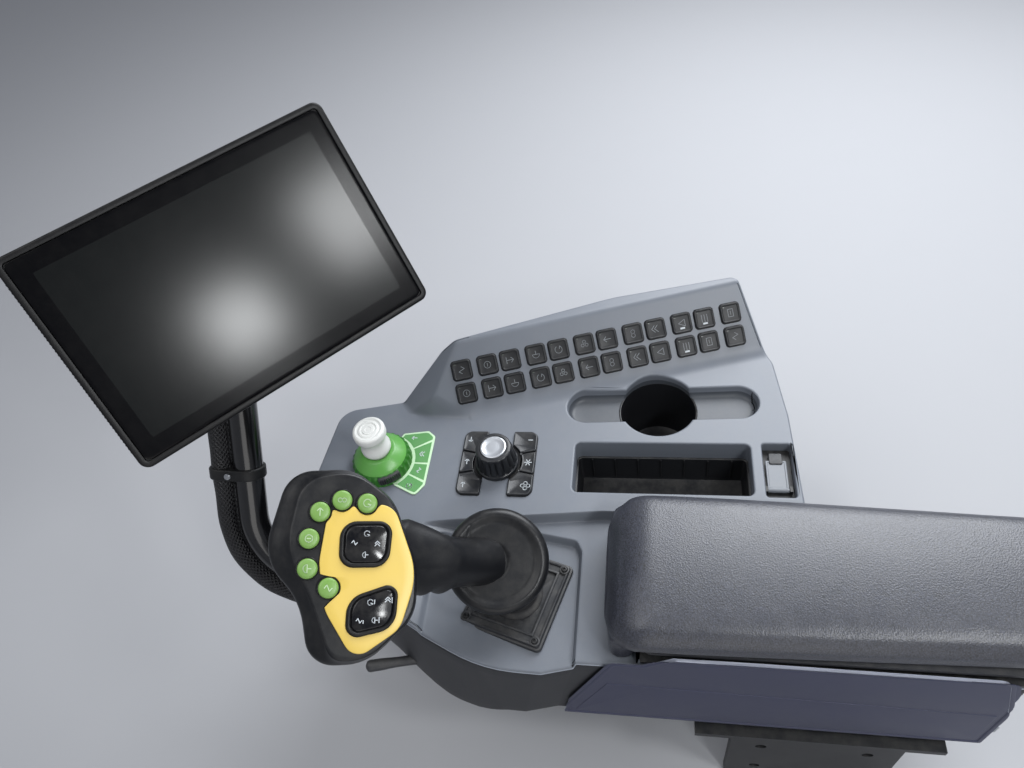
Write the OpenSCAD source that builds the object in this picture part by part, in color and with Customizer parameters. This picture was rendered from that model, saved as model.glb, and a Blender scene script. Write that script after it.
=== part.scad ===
// Operator's right-hand control armrest of a self-propelled harvester.
// A moulded console carries a key panel, two rotary controls, a cup holder, a tray,
// a multifunction joystick, a hinged arm pad over a storage bin, and a touch display
// on a bent tube.  The console slides on rails on the seat bracket.
// Millimetres.  +X outboard, +Y forward, +Z up, origin at the bracket's bolt pattern.
// Most places are given from the cup holder's centre on the deck, at deck_at.

/* [Seat bracket] */
// Hole spacing along the seat
bolt_y = 100; // [80:1:130]
// Hole spacing up the seat
bolt_z = 70; // [50:1:85]
// Bolt hole diameter
bolt_d = 11; // [8:0.5:14]
// Thickness of the bolted plate
bracket_t = 8; // [6:1:12]
// Reach of the shelf under the console
shelf_l = 146; // [138:1:150]
// Depth of the shelf, front to back
shelf_w = 230; // [200:1:260]

/* [Slide] */
// Length of each rail
rail_l = 320; // [300:1:360]
// Width of each rail
rail_w = 38; // [34:1:42]
// Height of each rail
rail_h = 16; // [14:1:20]
// Distance between the rails
rail_pitch = 78; // [70:1:84]
// Running clearance in the rails
slide_gap = 0.3; // [0.2:0.1:0.6]

/* [Console body] */
// Cup centre to the nose
nose_y = 362; // [340:1:390]
// Cup centre to the rear wall under the pad
tail_y = 290; // [270:1:320]
// Cup centre to the wall on the seat side
inner_x = 277; // [270:1:290]
// Deck to the underside
body_h = 145; // [125:1:165]
// Thickness of the mouldings
wall = 3; // [2:0.5:4]
// Depth of the step beside the joystick
ledge_h = 12; // [9:1:14]
// Depth of the joystick's pocket
pocket_h = 21; // [17:1:24]

/* [Key panel] */
// Angle of the panel's foot to the slide direction
wing_yaw = 15.5; // [10:0.5:20]
// Slope of the panel
wing_tilt = 42.5; // [35:0.5:50]
// Width of the panel up its slope
wing_w = 82; // [76:1:90]
// Side of a key
key_w = 22; // [18:0.5:23]
// Distance between the two keys of a pair
key_pitch = 25.5; // [24:0.5:27]
// Distance between neighbouring pairs
pair_gap = 29; // [28:0.5:30]
// Distance between the two rows
row_pitch = 26; // [24:0.5:28]
// Height of a key
key_h = 3; // [2:0.5:4]

/* [Cup holder, slot and tray] */
// Cup holder bore
cup_d = 80; // [70:1:84]
// Cup holder depth
cup_h = 78; // [60:1:85]
// Phone slot length
slot_l = 201; // [180:1:215]
// Phone slot width
slot_w = 42; // [36:1:50]
// Phone slot depth
slot_h = 13; // [10:1:18]
// Tray length
tray_l = 176; // [150:1:180]
// Tray width
tray_w = 60; // [50:1:62]
// Tray depth
tray_h = 62; // [50:1:75]

/* [Rotary controls] */
// Range dial diameter
dial_d = 64; // [54:1:68]
// Range dial height
dial_h = 24; // [18:1:30]
// Push knob diameter
knob_d = 34; // [28:1:40]
// Push knob top over the deck
knob_top = 60; // [50:1:66]
// Jog wheel diameter
jog_d = 45; // [38:1:48]
// Jog wheel height
jog_h = 30; // [24:1:36]
// Side of the key block around the jog wheel
jog_block = 80; // [74:1:86]

/* [Joystick] */
// Side of the base plate
base_w = 88; // [80:1:92]
// Thickness of the base plate
base_t = 8; // [6:1:10]
// Radius of the fixed gaiter dome
gaiter_r = 36; // [34:1:38]
// Hand rest diameter
rest_d = 98; // [90:1:104]
// Hand rest thickness
rest_t = 20; // [16:1:24]
// Grip neck diameter
neck_d = 43; // [38:1:48]
// Depth of the head behind its face
head_t = 34; // [28:1:40]
// Thumb button diameter
thumb_d = 15; // [12:0.5:16]

/* [Arm pad] */
// Pad width
pad_w = 150; // [140:1:152]
// Pad thickness
pad_t = 42; // [36:1:48]
// Pad length
pad_l = 378; // [360:1:390]
// Storage bin depth
bin_h = 70; // [50:1:80]

/* [Display] */
// Housing width
disp_w = 304; // [280:1:320]
// Housing height
disp_h = 207; // [190:1:220]
// Housing thickness
disp_t = 38; // [30:1:42]
// Corner radius
disp_r = 9; // [5:1:14]
// Frame around the glass
disp_edge = 6; // [4:1:10]
// Support tube diameter
tube_d = 30; // [26:1:34]
// Cable sleeve diameter
sleeve_d = 22; // [16:1:24]

/* [Hidden] */

$fn = 48;
plate_h = bolt_z + 56;
shelf_z = plate_h / 2;
keel_z = shelf_z + rail_h + 1;          // the underside just clears the rails
deck_at = [285, 150, keel_z + body_h];
fit = 0.3;          // seated pieces lie this far apart
pin_fit = 0.05;     // radial running clearance of a hinge pin

// Plan of the body, seen from above: x, y, corner radius, anticlockwise from the rear
// outboard corner, round the nose, to the tail.
pad_x = -133;       // outboard edge of the pad
pad_front = 48;
deck_rear = -137;
BODY = [[137, -84, 10], [108, 50, 120], [42, 236, 22], [4, 284, 16], [-10, nose_y - 6, 24],
  [-112, nose_y + 2, 44], [-212, 318, 70], [-256, 224, 90], [-inner_x - 7, 160, 150],
  [-inner_x - 8, 103, 8], [-inner_x, 71, 8], [-inner_x, -tail_y, 10],
  [pad_x - 4, -tail_y, 10], [pad_x - 4, deck_rear, 3], [-13, deck_rear + 5, 60],
  [60, deck_rear + 14, 30]];
skirt_y = pad_front - 30;   // the deck ends here under the pad
// Plans of the step beside the joystick and of the pocket inside it: x, y, radius
LEDGE = [[pad_x + 1, skirt_y, 0], [pad_x + 1, 54, 30], [-141, 151, 60], [-150, 236, 8],
  [-320, 236, 0], [-320, skirt_y, 0]];
POCKET = [[-170, 72, 10], [-158, 78, 8], [-151, 117, 30], [-156, 218, 8], [-320, 218, 0],
  [-320, 72, 0]];
// Side of the body: y, z of the underside from the tail to the nose
KEEL = [[-400, -body_h], [160, -body_h], [232, 38 - body_h], [420, 42 - body_h], [420, 80],
  [-400, 80]];
// Cross section of the body: x, z
HULL = [[-400, -body_h], [-20, -body_h], [60, 45 - body_h], [160, 70 - body_h], [160, 80],
  [-400, 80]];

// Key panel: its foot runs from foot_front backwards
foot_front = [-12, 187, 0];
wing_rise = wing_w * sin(wing_tilt);
WING = [[-13, 273, 3], [-15, 239, 60], [-12, 187, 60], [73, -117, 2], [137, -84, 10],
  [108, 50, 120], [42, 236, 22], [10, 273, 6]];
// The panel's front falls from its crest towards the tip
front_crest = [29, 224, 47];
front_yaw = 131;
front_fall = 36.4;
first_col = 16;     // first key column, forward of the foot's corner
row_1 = 26;         // lower row, up the slope
// Columns of the panel: a single key, five pairs, a single key
function col_at(i) = first_col - ceil(i / 2) * pair_gap - floor(i / 2) * key_pitch;

slot_at = [1.2, -3.5];
slot_yaw = 2.4;
tray_at = [-80, -3];
tray_r = 6;
dial_at = [-79, 290];
jog_at = [-78, 165];

// Joystick: places from the cup centre
gimbal = [-214, 132, -9 - pocket_h];
base_yaw = -17;
rest_c = [-206, 141, 36];
rest_turn = [0, 28, -155];
neck_top = [-264, 222, 130];
head_c = [-275, 232, 150];
head_turn = [0, 33.3, -136.2];
head_spin = 53.8;
// Head outline on its face: x to the rear, y outboard, radius
HEAD = [[2, 77, 36], [-47, 74, 25], [-63, 8, 40], [-33, -24, 60], [-24, -71, 22],
  [18, -70, 40], [55, -36, 34], [55, 2, 60], [35, 54, 38]];
// Outline of its front plane, inside the bevel
FRONT = [[2, 75, 36], [-36, 66, 24], [-45, 15, 50], [-26, -20, 60], [-8, -66, 13], [18, -67, 37],
  [53, -35, 33], [53, 2, 59], [34, 52, 37]];
FACE = [[-12, 49, 13], [36, 49, 14], [54, -4, 50], [42, -44, 20], [9, -66, 12], [-14, -30, 30],
  [-20, 4, 40]];
BUTTONS = [[-21, 42], [-5, 51], [14, 49], [-28, 22], [-28, 0], [-12, -14]];
ROCK_1 = [[2, -2, 9], [35, 6, 10], [34, 36, 7], [-7, 35, 8]];
ROCK_2 = [[9, -53, 9], [41, -34, 9], [38, -6, 8], [4, -16, 8]];

lid_z = 12;         // top of the storage bin's rim
lid_t = 4;
hinge_y = -tail_y - 7;
hinge_z = 6;
pin_r = 3;

disp_c = [-44.3, 372.2, 235.2];
disp_turn = [55, 0, -45.7];
disp_n = [sin(disp_turn[0]) * sin(disp_turn[2]), -sin(disp_turn[0]) * cos(disp_turn[2]),
  cos(disp_turn[0])];
pivot_back = disp_t + 26;               // tilt pivot behind the glass
pivot = disp_c - disp_n * pivot_back;   // where the swivel and tilt axes cross
tube_foot = [-172, 290, -64];
tube_knee = [-193, 420, -62];
tube_low = unit(tube_knee - tube_foot);
tube_up = unit(pivot - tube_knee);
tube_top = pivot - tube_up * 50;
swivel_r = 8;       // radius of the swivel pin on the tube's end
pin_end = 28;       // the swivel pin ends this far below the pivot
tilt_r = 6;         // radius of the tilt pin

function unit(v) = v / norm(v);
function cross2(a, b) = a[0] * b[1] - a[1] * b[0];
// Points of one rounded corner b between neighbours a and c
function corner(a, b, c, r, n) = r <= 0 ? [b] : let(
    u = unit(a - b), v = unit(c - b), half = acos(u * v) / 2,
    m = b + unit(u + v) * r / sin(half), s = b + u * r / tan(half) - m,
    turn = (180 - 2 * half) * (cross2(u, v) < 0 ? 1 : -1))
  [for (k = [0:n]) let(t = turn * k / n)
    m + [s[0] * cos(t) - s[1] * sin(t), s[0] * sin(t) + s[1] * cos(t)]];
function xy(p) = [p[0], p[1]];
// A closed outline from corners [x, y, radius]
function rounded(t, n = 5) = let(k = len(t)) [for (i = [0:k - 1])
    each corner(xy(t[(i + k - 1) % k]), xy(t[i]), xy(t[(i + 1) % k]), t[i][2], n)];
// The same corners moved in by d, for an anticlockwise outline
function inset(t, d) = let(k = len(t)) [for (i = [0:k - 1]) let(
    u = unit(xy(t[i]) - xy(t[(i + k - 1) % k])), v = unit(xy(t[(i + 1) % k]) - xy(t[i])),
    q = xy(t[i]) + ([-u[1], u[0]] + [-v[1], v[0]]) * d / (1 + u * v),
    r = t[i][2] - (cross2(u, v) > 0 ? d : -d))
  [q[0], q[1], t[i][2] == 0 ? 0 : max(r, 0.3)]];
function box4(w, l, r) = [[w / 2, -l / 2, r], [w / 2, l / 2, r], [-w / 2, l / 2, r],
  [-w / 2, -l / 2, r]];

module slab(t, z0, z1, n = 5) translate([0, 0, z0]) linear_extrude(z1 - z0) polygon(rounded(t, n));
module bar(a, b, r) {
  d = b - a;
  translate(a) rotate([0, acos(d[2] / norm(d)), atan2(d[1], d[0])]) cylinder(r = r, h = norm(d));
}
// Centre line from foot to top, bent at the knee on radius bend_r in n steps
function bent_line(foot, knee, top, bend_r, n = 10) = let(
    u = unit(foot - knee), v = unit(top - knee), half = acos(u * v) / 2,
    run = bend_r / tan(half), centre = knee + unit(u + v) * bend_r / sin(half),
    ex = unit(knee + u * run - centre), turn = 180 - 2 * half)
  concat([foot], [for (k = [0:n]) centre + bend_r * (ex * cos(turn * k / n) - u * sin(turn * k / n))],
    [top]);
// A round rod of radius r along a line that lies in one plane
module swept_rod(line, r, sides) {
  n = len(line);
  across = unit(cross(line[1] - line[0], line[n - 1] - line[n - 2]));
  points = [for (i = [0:n - 1]) let(
      a = unit(line[min(i + 1, n - 1)] - line[min(i, n - 2)]),
      b = unit(line[max(i, 1)] - line[max(i - 1, 0)]), e = cross(unit(a + b), across))
    for (k = [0:sides - 1]) line[i] + r * (across * cos(360 * k / sides) + e * sin(360 * k / sides))];
  faces = concat([[for (k = [0:sides - 1]) k]],
    [for (i = [0:n - 2], k = [0:sides - 1]) let(q = (k + 1) % sides)
      [i * sides + k, (i + 1) * sides + k, (i + 1) * sides + q, i * sides + q]],
    [[for (k = [sides - 1:-1:0]) (n - 1) * sides + k]]);
  polyhedron(points, faces);
}
module on_deck() translate(deck_at) children();
module on_wing() on_deck() translate(foot_front) rotate([0, 0, wing_yaw])
  rotate([0, -wing_tilt, 0]) children();
module on_head() on_deck() translate(head_c) rotate(head_turn) rotate([0, 0, head_spin]) children();
module on_rest() on_deck() translate(rest_c) rotate(rest_turn) children();
module on_screen() on_deck() translate(disp_c) rotate(disp_turn) children();
module on_base() on_deck() translate([gimbal[0], gimbal[1], -pocket_h]) rotate([0, 0, base_yaw])
  children();

// Bracket and slide
plate_w = bolt_y + 60;
rail_x = [shelf_l / 2 + 7 - rail_pitch / 2, shelf_l / 2 + 7 + rail_pitch / 2];
module seat_bracket() color("#3a3c3f") {
  difference() {
    translate([0, -plate_w / 2, -plate_h / 2]) cube([bracket_t, plate_w, plate_h]);
    for (y = [-1, 1], z = [-1, 1]) translate([-1, y * bolt_y / 2, z * bolt_z / 2])
      rotate([0, 90, 0]) cylinder(d = bolt_d, h = bracket_t + 2);
  }
  translate([0, -shelf_w / 2, shelf_z - bracket_t]) cube([shelf_l, shelf_w, bracket_t]);
  for (y = [-1, 1]) translate([bracket_t, y * (bolt_y / 2 + 22) - 3, 0]) rotate([90, 0, 0])
    mirror([0, 0, 1]) linear_extrude(6) polygon([[-1, shelf_z - bracket_t / 2],
      [shelf_l - 40, shelf_z - bracket_t / 2], [-1, 6 - shelf_z]]);
}
rail_t = 3;
run_in = 60;        // the runners end this far inside the rails, for the travel
module rail(x) color("#8d9196") translate([x, 0, shelf_z]) difference() {
  translate([-rail_w / 2, -rail_l / 2, 0]) cube([rail_w, rail_l, rail_h]);
  translate([-rail_w / 2 + rail_t, -rail_l, rail_t])
    cube([rail_w - 2 * rail_t, 2 * rail_l, rail_h - 2 * rail_t]);
  translate([-rail_w / 4, -rail_l, rail_t]) cube([rail_w / 2, 2 * rail_l, rail_h]);
}
module runner(x) color("#6d7175") translate([x, run_in - rail_l / 2, shelf_z]) {
  run_l = rail_l - 2 * run_in;
  foot_w = rail_w - 2 * rail_t - 2;
  top_z = keel_z - shelf_z - fit;
  translate([-foot_w / 2, 0, rail_t + slide_gap]) cube([foot_w, run_l, rail_h - 2 * rail_t - 1]);
  translate([-rail_w / 4 + 2, 0, rail_t + 1]) cube([rail_w / 2 - 4, run_l, top_z - rail_t - 1]);
}
module slide_rail_inner() rail(rail_x[0]);
module slide_rail_outer() rail(rail_x[1]);
module slide_runner_inner() runner(rail_x[0]);
module slide_runner_outer() runner(rail_x[1]);

// Solid form of the body, moved in by d on every side
module body_form(d) intersection() {
  slab(inset(BODY, d), -body_h + d, 70);
  translate([-400, 0, 0]) rotate([90, 0, 90]) linear_extrude(800)
    polygon([for (p = KEEL) [p[0], p[1] + (p[1] < 0 ? d : 0)]]);
  translate([0, 500, 0]) rotate([90, 0, 0]) linear_extrude(1000)
    polygon([for (p = HULL) [p[0], p[1] + (p[1] < 0 ? d : 0)]]);
}
lever_a = [-248, 226, -98];
lever_b = [-266, 292, -92];
module lever_bar(extra) bar(lever_a, lever_b, 6 + extra);
module console_tub() color("#3b3d41") on_deck() difference() {
  body_form(0);
  difference() {
    body_form(wall);
    translate([-400, -400, -body_h]) cube([800, 800, wall]);
  }
  translate([-400, -400, -wall]) cube([800, 800, 200]);
  hollow(inset(LEDGE, -wall - fit), -ledge_h - wall - fit);
  hollow(inset(POCKET, -wall - fit), -pocket_h - wall - fit);
  bar(tube_foot, tube_knee, tube_d / 2 + fit);
  bar(sleeve_pts[0], sleeve_pts[1], sleeve_d / 2 + fit);
  lever_bar(fit);
}
module hollow(t, z) translate([0, 0, z]) linear_extrude(200) polygon(rounded(t));

module slot_form(d, z0, z1) translate(slot_at) rotate([0, 0, slot_yaw])
  slab(box4(slot_w + 2 * d, slot_l + 2 * d, slot_w / 2 + d - 0.01), z0, z1);
module tray_form(d, z0, z1) translate(tray_at) slab(box4(tray_w + 2 * d, tray_l + 2 * d,
  tray_r + d), z0, z1);
socket_at = [-80, -115];
socket_w = [62, 30];
// A shelf of the deck: its floor and its side walls, down to depth h
module sunk(t, h) intersection() {
  slab(inset(t, -wall), -h - wall, -0.5);
  hollow(BODY, -h - wall);
}
module console_deck() color("#6e7278") {
  on_deck() difference() {
    union() {
      slab(BODY, -wall, 0);
      slot_form(wall, -slot_h - wall, -1);
      sunk(LEDGE, ledge_h);
      sunk(POCKET, pocket_h);
    }
    slot_form(0, -slot_h, 10);
    translate([0, 0, -50]) cylinder(d = cup_d, h = 80);
    tray_form(0, -50, 10);
    hollow(LEDGE, -ledge_h);
    hollow(POCKET, -pocket_h);
    translate([-400, -400, -60]) cube([400 + pad_x + 1, 400 + skirt_y, 100]);
    translate([socket_at[0] - socket_w[0] / 2, socket_at[1] - socket_w[1] / 2, -50])
      cube([socket_w[0], socket_w[1] - 2, 80]);
    on_base_hole();
    slab(inset(WING, wall), -20, 10);
  }
  on_deck() difference() {
    wing_form(0, 0);
    wing_form(wall, 1);
  }
}
module on_base_hole() translate([gimbal[0], gimbal[1], -50]) cylinder(r = gaiter_r + 2, h = 60);
// Solid form of the key panel, moved in by d, from a depth below the deck
module wing_form(d, depth) difference() {
  slab(inset(WING, d), -depth, wing_rise + 2);
  translate(foot_front) rotate([0, 0, wing_yaw]) rotate([0, -wing_tilt, 0])
    translate([-60, -360, -d]) cube([260, 500, 200]);
  translate(front_crest) rotate([0, 0, front_yaw]) rotate([0, front_fall, 0])
    translate([-200, -200, -d]) cube([400, 400, 200]);
}

panel_t = 3;
module side_panel() color("#3a4052") on_deck() translate([-inner_x - fit - panel_t, 0, 0])
  rotate([90, 0, 90]) linear_extrude(panel_t) polygon(rounded([[52, -6, 2], [12, -6, 8],
    [-14, 15, 8], [-tail_y + 24, 10, 10], [-tail_y + 2, -70, 20], [-tail_y + 2, 4 - body_h, 6],
    [68, 4 - body_h, 2]]));

module cup_insert() color("#33353a") on_deck() difference() {
  translate([0, 0, -slot_h - wall - cup_h]) cylinder(d = cup_d + 5, h = cup_h - fit);
  translate([0, 0, -slot_h - cup_h]) cylinder(d = cup_d, h = cup_h + 10);
}
module tray_bin() color("#2d2f33") on_deck() difference() {
  tray_form(2.5, -tray_h - wall, -wall - fit);
  tray_form(0, -tray_h, 10);
}
bin_x = [-inner_x + 12, pad_x - 14];
bin_y = [-tail_y + 14, pad_front - 44];
bin_plan = [[bin_x[1], bin_y[0], 8], [bin_x[1], bin_y[1], 8], [bin_x[0], bin_y[1], 8],
  [bin_x[0], bin_y[0], 8]];
module storage_bin() color("#2d2f33") on_deck() difference() {
  union() {
    slab(inset(bin_plan, -2.5), -bin_h - 2.5, lid_z);
    slab([[pad_x - 4, -tail_y, 10], [pad_x - 4, skirt_y - 2, 2], [-inner_x, skirt_y - 2, 2],
      [-inner_x, -tail_y, 10]], -wall + fit, fit);
  }
  slab(bin_plan, -bin_h, 40);
}

// Key panel
module key_cap() slab(box4(key_w, key_w, 4), 0, key_h, 3);
module panel_keys() color("#26282b") on_wing() for (row = [0, 1], i = [0:11])
  translate([row_1 + row * row_pitch, col_at(i), fit]) key_cap();

// Range dial
module dial_base() color("#3d8c2e") on_deck() translate(dial_at) difference() {
  rotate_extrude() polygon([[0, fit], [dial_d / 2, fit], [dial_d / 2, dial_h * 0.5],
    [dial_d * 0.42, dial_h * 0.7], [dial_d * 0.28, dial_h], [0, dial_h]]);
  rotate([0, 0, -150]) translate([dial_d / 2 - 5, -13, 3]) cube([20, 26, dial_h * 0.5]);
  translate([0, 0, dial_h - 8]) cylinder(d = knob_d * 0.7 + 2 * fit, h = 20);
}
module dial_insert() color("#3a3d40") on_deck() translate(dial_at) rotate([0, 0, -150])
  difference() {
    translate([dial_d / 2 - 5 + fit, -12.5, 3 + fit]) cube([6, 25, dial_h * 0.5 - 2 * fit]);
    for (k = [-4:4]) translate([dial_d / 2 + 0.4, k * 2.7 - 0.6, 0]) cube([10, 1.2, 40]);
  }
module dial_knob() color("#e6e7e3") on_deck() translate(dial_at) {
  translate([0, 0, dial_h - 8 + fit]) cylinder(d = knob_d * 0.7, h = knob_top - dial_h);
  translate([0, 0, dial_h + 6]) cylinder(d = knob_d * 0.86, h = 4);
  translate([0, 0, dial_h + 10]) cylinder(d = knob_d, h = knob_top - dial_h - 10);
}
module dial_legend() color("#8fc07f") on_deck() difference() {
  slab([[-38, 247, 4], [-42, 275, 4], [-80, 290, 1], [-108, 272, 4], [-120, 247, 5],
    [-107, 238.5, 4], [-45, 238.5, 4]], fit, 1.5);
  translate([dial_at[0], dial_at[1], -1]) cylinder(d = dial_d + 3, h = 10);
}

// Jog wheel and its keys
module jog_knob() color("#2a2c2f") on_deck() translate(jog_at) {
  translate([0, 0, fit]) cylinder(d = jog_d, h = 5);
  translate([0, 0, 5]) difference() {
    cylinder(d1 = jog_d - 3, d2 = jog_d - 7, h = jog_h - 6);
    translate([0, 0, jog_h - 9]) cylinder(d = jog_d * 0.62, h = 9);
  }
}
module jog_cap() color("#d0d3d6") on_deck() translate(jog_at) translate([0, 0, jog_h - 4 + fit])
  cylinder(d = jog_d * 0.62 - 2 * fit, h = 4);
key_out = [-0.5, -0.18, 0.18, 0.5];  // ends of the three keys at the block's edge
key_in = [-0.5, -0.11, 0.11, 0.5];   // and beside the wheel
module jog_keys() color("#2e3134") on_deck() translate(jog_at) for (s = [0, 180])
  rotate([0, 0, s]) difference() {
    for (i = [0:2]) slab([[key_out[i + 1] * jog_block - 0.7, jog_block / 2, 4],
      [key_out[i] * jog_block + 0.7, jog_block / 2, 4], [key_in[i] * jog_block + 0.7, 14, 2],
      [key_in[i + 1] * jog_block - 0.7, 14, 2]], fit, 4);
    translate([0, 0, -1]) cylinder(d = jog_d + 6, h = 20);
  }

// Joystick base on the console
module stick_base() color("#3c3d3e") on_base() difference() {
  union() {
    slab(box4(base_w, base_w - 4, 5), fit, base_t * 0.6);
    slab(box4(base_w - 6, base_w - 10, 4), base_t * 0.5, base_t);
  }
  translate([0, 0, -5]) cylinder(r = sqrt(gaiter_r * gaiter_r - 81) + fit, h = 40);
}
module dome(r0, r1, z_low, bore) difference() {
  sphere(r = r1, $fn = 64);
  sphere(r = r0, $fn = 64);
  translate([-100, -100, z_low - 200]) cube([200, 200, 200]);
  if (bore > 0) cylinder(r = bore, h = 200);
}
module stick_gaiter() color("#2c2d2f") on_deck() translate(gimbal)
  dome(gaiter_r - 3, gaiter_r, 9, 24);
trunnion = 24;      // half the distance between the gimbal's lugs
seat_z = -pocket_h - wall - fit;
module gimbal_seat() color("#5c6064") on_deck() {
  for (s = [-1, 1]) difference() {
    union() {
      translate(gimbal + [s * (trunnion + 3.5) - 2, -5, seat_z - 10 - gimbal[2]])
        cube([4, 10, gimbal[2] + 6 - seat_z + 10]);
      translate([gimbal[0] + s * (trunnion + 11.5) - 10, gimbal[1] - 20, seat_z - 10])
        cube([20, 40, 4]);
    }
    translate(gimbal) rotate([0, 90, 0]) translate([0, 0, -50])
      cylinder(r = pin_r + pin_fit, h = 100);
  }
  translate([gimbal[0], gimbal[1], seat_z - 6]) difference() {
    cylinder(r = gaiter_r + 12, h = 6);
    translate([0, 0, -1]) cylinder(r = gaiter_r - 3, h = 8);
  }
}
module stick_yoke() color("#7b7f84") on_deck() translate(gimbal) {
  difference() {
    translate([0, 0, -4.5]) cylinder(r = trunnion - 1, h = 9);
    translate([0, 0, -10]) cylinder(r = 17, h = 20);
    rotate([90, 0, 0]) translate([0, 0, -40]) cylinder(r = pin_r + pin_fit, h = 80);
  }
  for (s = [0, 180]) rotate([0, 0, s]) translate([trunnion - 4, 0, 0]) rotate([0, 90, 0])
    cylinder(r = pin_r, h = 9.5);
}
stalk_r = 9;
module stalk_form(d) bar(gimbal, rest_c, stalk_r + d);
module stick_stalk() color("#85898e") difference() {
  on_deck() {
    stalk_form(0);
    translate(gimbal) sphere(r = 12);
    translate(gimbal) rotate([90, 0, 0]) translate([0, 0, -21]) cylinder(r = pin_r, h = 42);
  }
  on_rest() translate([-100, -100, -rest_t / 2 - 0.01]) cube([200, 200, 200]);
}
module stick_boot() color("#242527") on_deck() difference() {
  translate(gimbal) dome(gaiter_r + 2, gaiter_r + 4.5, (gaiter_r + 4.5) * cos(44), 0);
  stalk_form(0.1);
}
module neck_form(d) bar(rest_c, neck_top, neck_d / 2 + d);
module stick_rest() color("#2b2c2e") difference() {
  on_rest() {
    translate([0, 0, -rest_t / 2]) cylinder(d1 = rest_d - 8, d2 = rest_d, h = 4);
    translate([0, 0, -rest_t / 2 + 4]) cylinder(d = rest_d, h = rest_t - 8);
    translate([0, 0, rest_t / 2 - 4]) cylinder(d1 = rest_d, d2 = rest_d - 8, h = 4);
  }
  on_deck() neck_form(0.05);
}
module stick_neck() color("#2b2c2e") difference() {
  on_deck() neck_form(0);
  on_head() translate([0, 0, -head_t]) linear_extrude(100) polygon(rounded(HEAD));
  on_rest() translate([-100, -100, -rest_t / 2 - 200]) cube([200, 200, 200]);
}
face_t = 3;
module stick_head() color("#2e3033") on_head() {
  translate([0, 0, -head_t + 0.1]) linear_extrude(head_t * 0.3) polygon(rounded(inset(HEAD, 4)));
  translate([0, 0, -head_t * 0.7]) linear_extrude(head_t * 0.4) polygon(rounded(HEAD));
  translate([0, 0, -head_t * 0.3 - 0.5]) linear_extrude(head_t * 0.15 + 0.5)
    polygon(rounded(inset(HEAD, 4)));
  translate([0, 0, -head_t * 0.15 - 0.5]) linear_extrude(head_t * 0.15 + 0.5)
    polygon(rounded(FRONT));
}
module stick_face() color("#e8b84a") on_head() difference() {
  translate([0, 0, 0.05]) linear_extrude(face_t) polygon(rounded(FACE));
  for (p = BUTTONS) translate([p[0], p[1], -1]) cylinder(d = thumb_d + 2, h = 20);
  for (t = [ROCK_1, ROCK_2]) translate([0, 0, -1]) linear_extrude(20)
    polygon(rounded(inset(t, -0.3)));
}
module stick_buttons() color("#6fae5c") on_head() for (p = BUTTONS) translate([p[0], p[1], 0.05])
  cylinder(d = thumb_d, h = 5);
module rocker(t) color("#111214") on_head() {
  translate([0, 0, 0.05]) linear_extrude(face_t + 3) polygon(rounded(t));
}
module rocker_upper() rocker(ROCK_1);
module rocker_lower() rocker(ROCK_2);
neck_dir = unit(neck_top - rest_c);
grip_side = unit(cross(neck_dir, [-0.8, 0.4, -0.5]));   // across the neck
grip_out = cross(neck_dir, grip_side);                  // away from the palm
module stick_trigger() color("#232426") difference() {
  on_deck() for (k = [0.42, 0.58, 0.74]) {
    c = rest_c + (neck_top - rest_c) * k - grip_out * (neck_d / 2 - 4);
    bar(c - grip_side * 11, c + grip_side * 11, 9);
  }
  on_deck() neck_form(0.05);
  on_head() translate([0, 0, -head_t - 1]) linear_extrude(100) polygon(rounded(HEAD));
}

// Power socket at the rear of the deck
flap_l = 34;
flap_w = 20;
flap_z = -9;
flap_x = -flap_l / 2 - 1;
module on_socket() on_deck() translate([socket_at[0], socket_at[1], 0]) children();
module socket_box() color("#242629") on_socket() {
  difference() {
    translate([-socket_w[0] / 2 + fit, -socket_w[1] / 2 + fit, -34])
      cube([socket_w[0] - 2 * fit, socket_w[1] - 2 - 2 * fit, 34 + flap_z - 3]);
    translate([0, 0, -30]) cylinder(d = 21, h = 60);
  }
  for (s = [-1, 1]) difference() {
    translate([flap_x - 3, s * (flap_w / 2 + 1.6) - 1.3, flap_z - 4]) cube([6, 2.6, 7]);
    translate([flap_x, -20, flap_z]) rotate([-90, 0, 0]) cylinder(r = 1.5 - 0.01, h = 40);
  }
  translate([flap_x, -flap_w / 2 - 3, flap_z]) rotate([-90, 0, 0])
    cylinder(r = 1.5, h = flap_w + 6);
}
module socket_flap() color("#8b8f94") on_socket() difference() {
  union() {
    translate([flap_x, -flap_w / 2, flap_z - 1.2]) cube([flap_l, flap_w, 2.4]);
    translate([flap_x + flap_l - 1, -5, flap_z - 1.2]) cube([9, 10, 2.4]);
    translate([flap_x, -flap_w / 2, flap_z]) rotate([-90, 0, 0]) cylinder(r = 2.6, h = flap_w);
  }
  translate([flap_x, -20, flap_z]) rotate([-90, 0, 0]) cylinder(r = 1.5 + pin_fit, h = 40);
}

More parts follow.
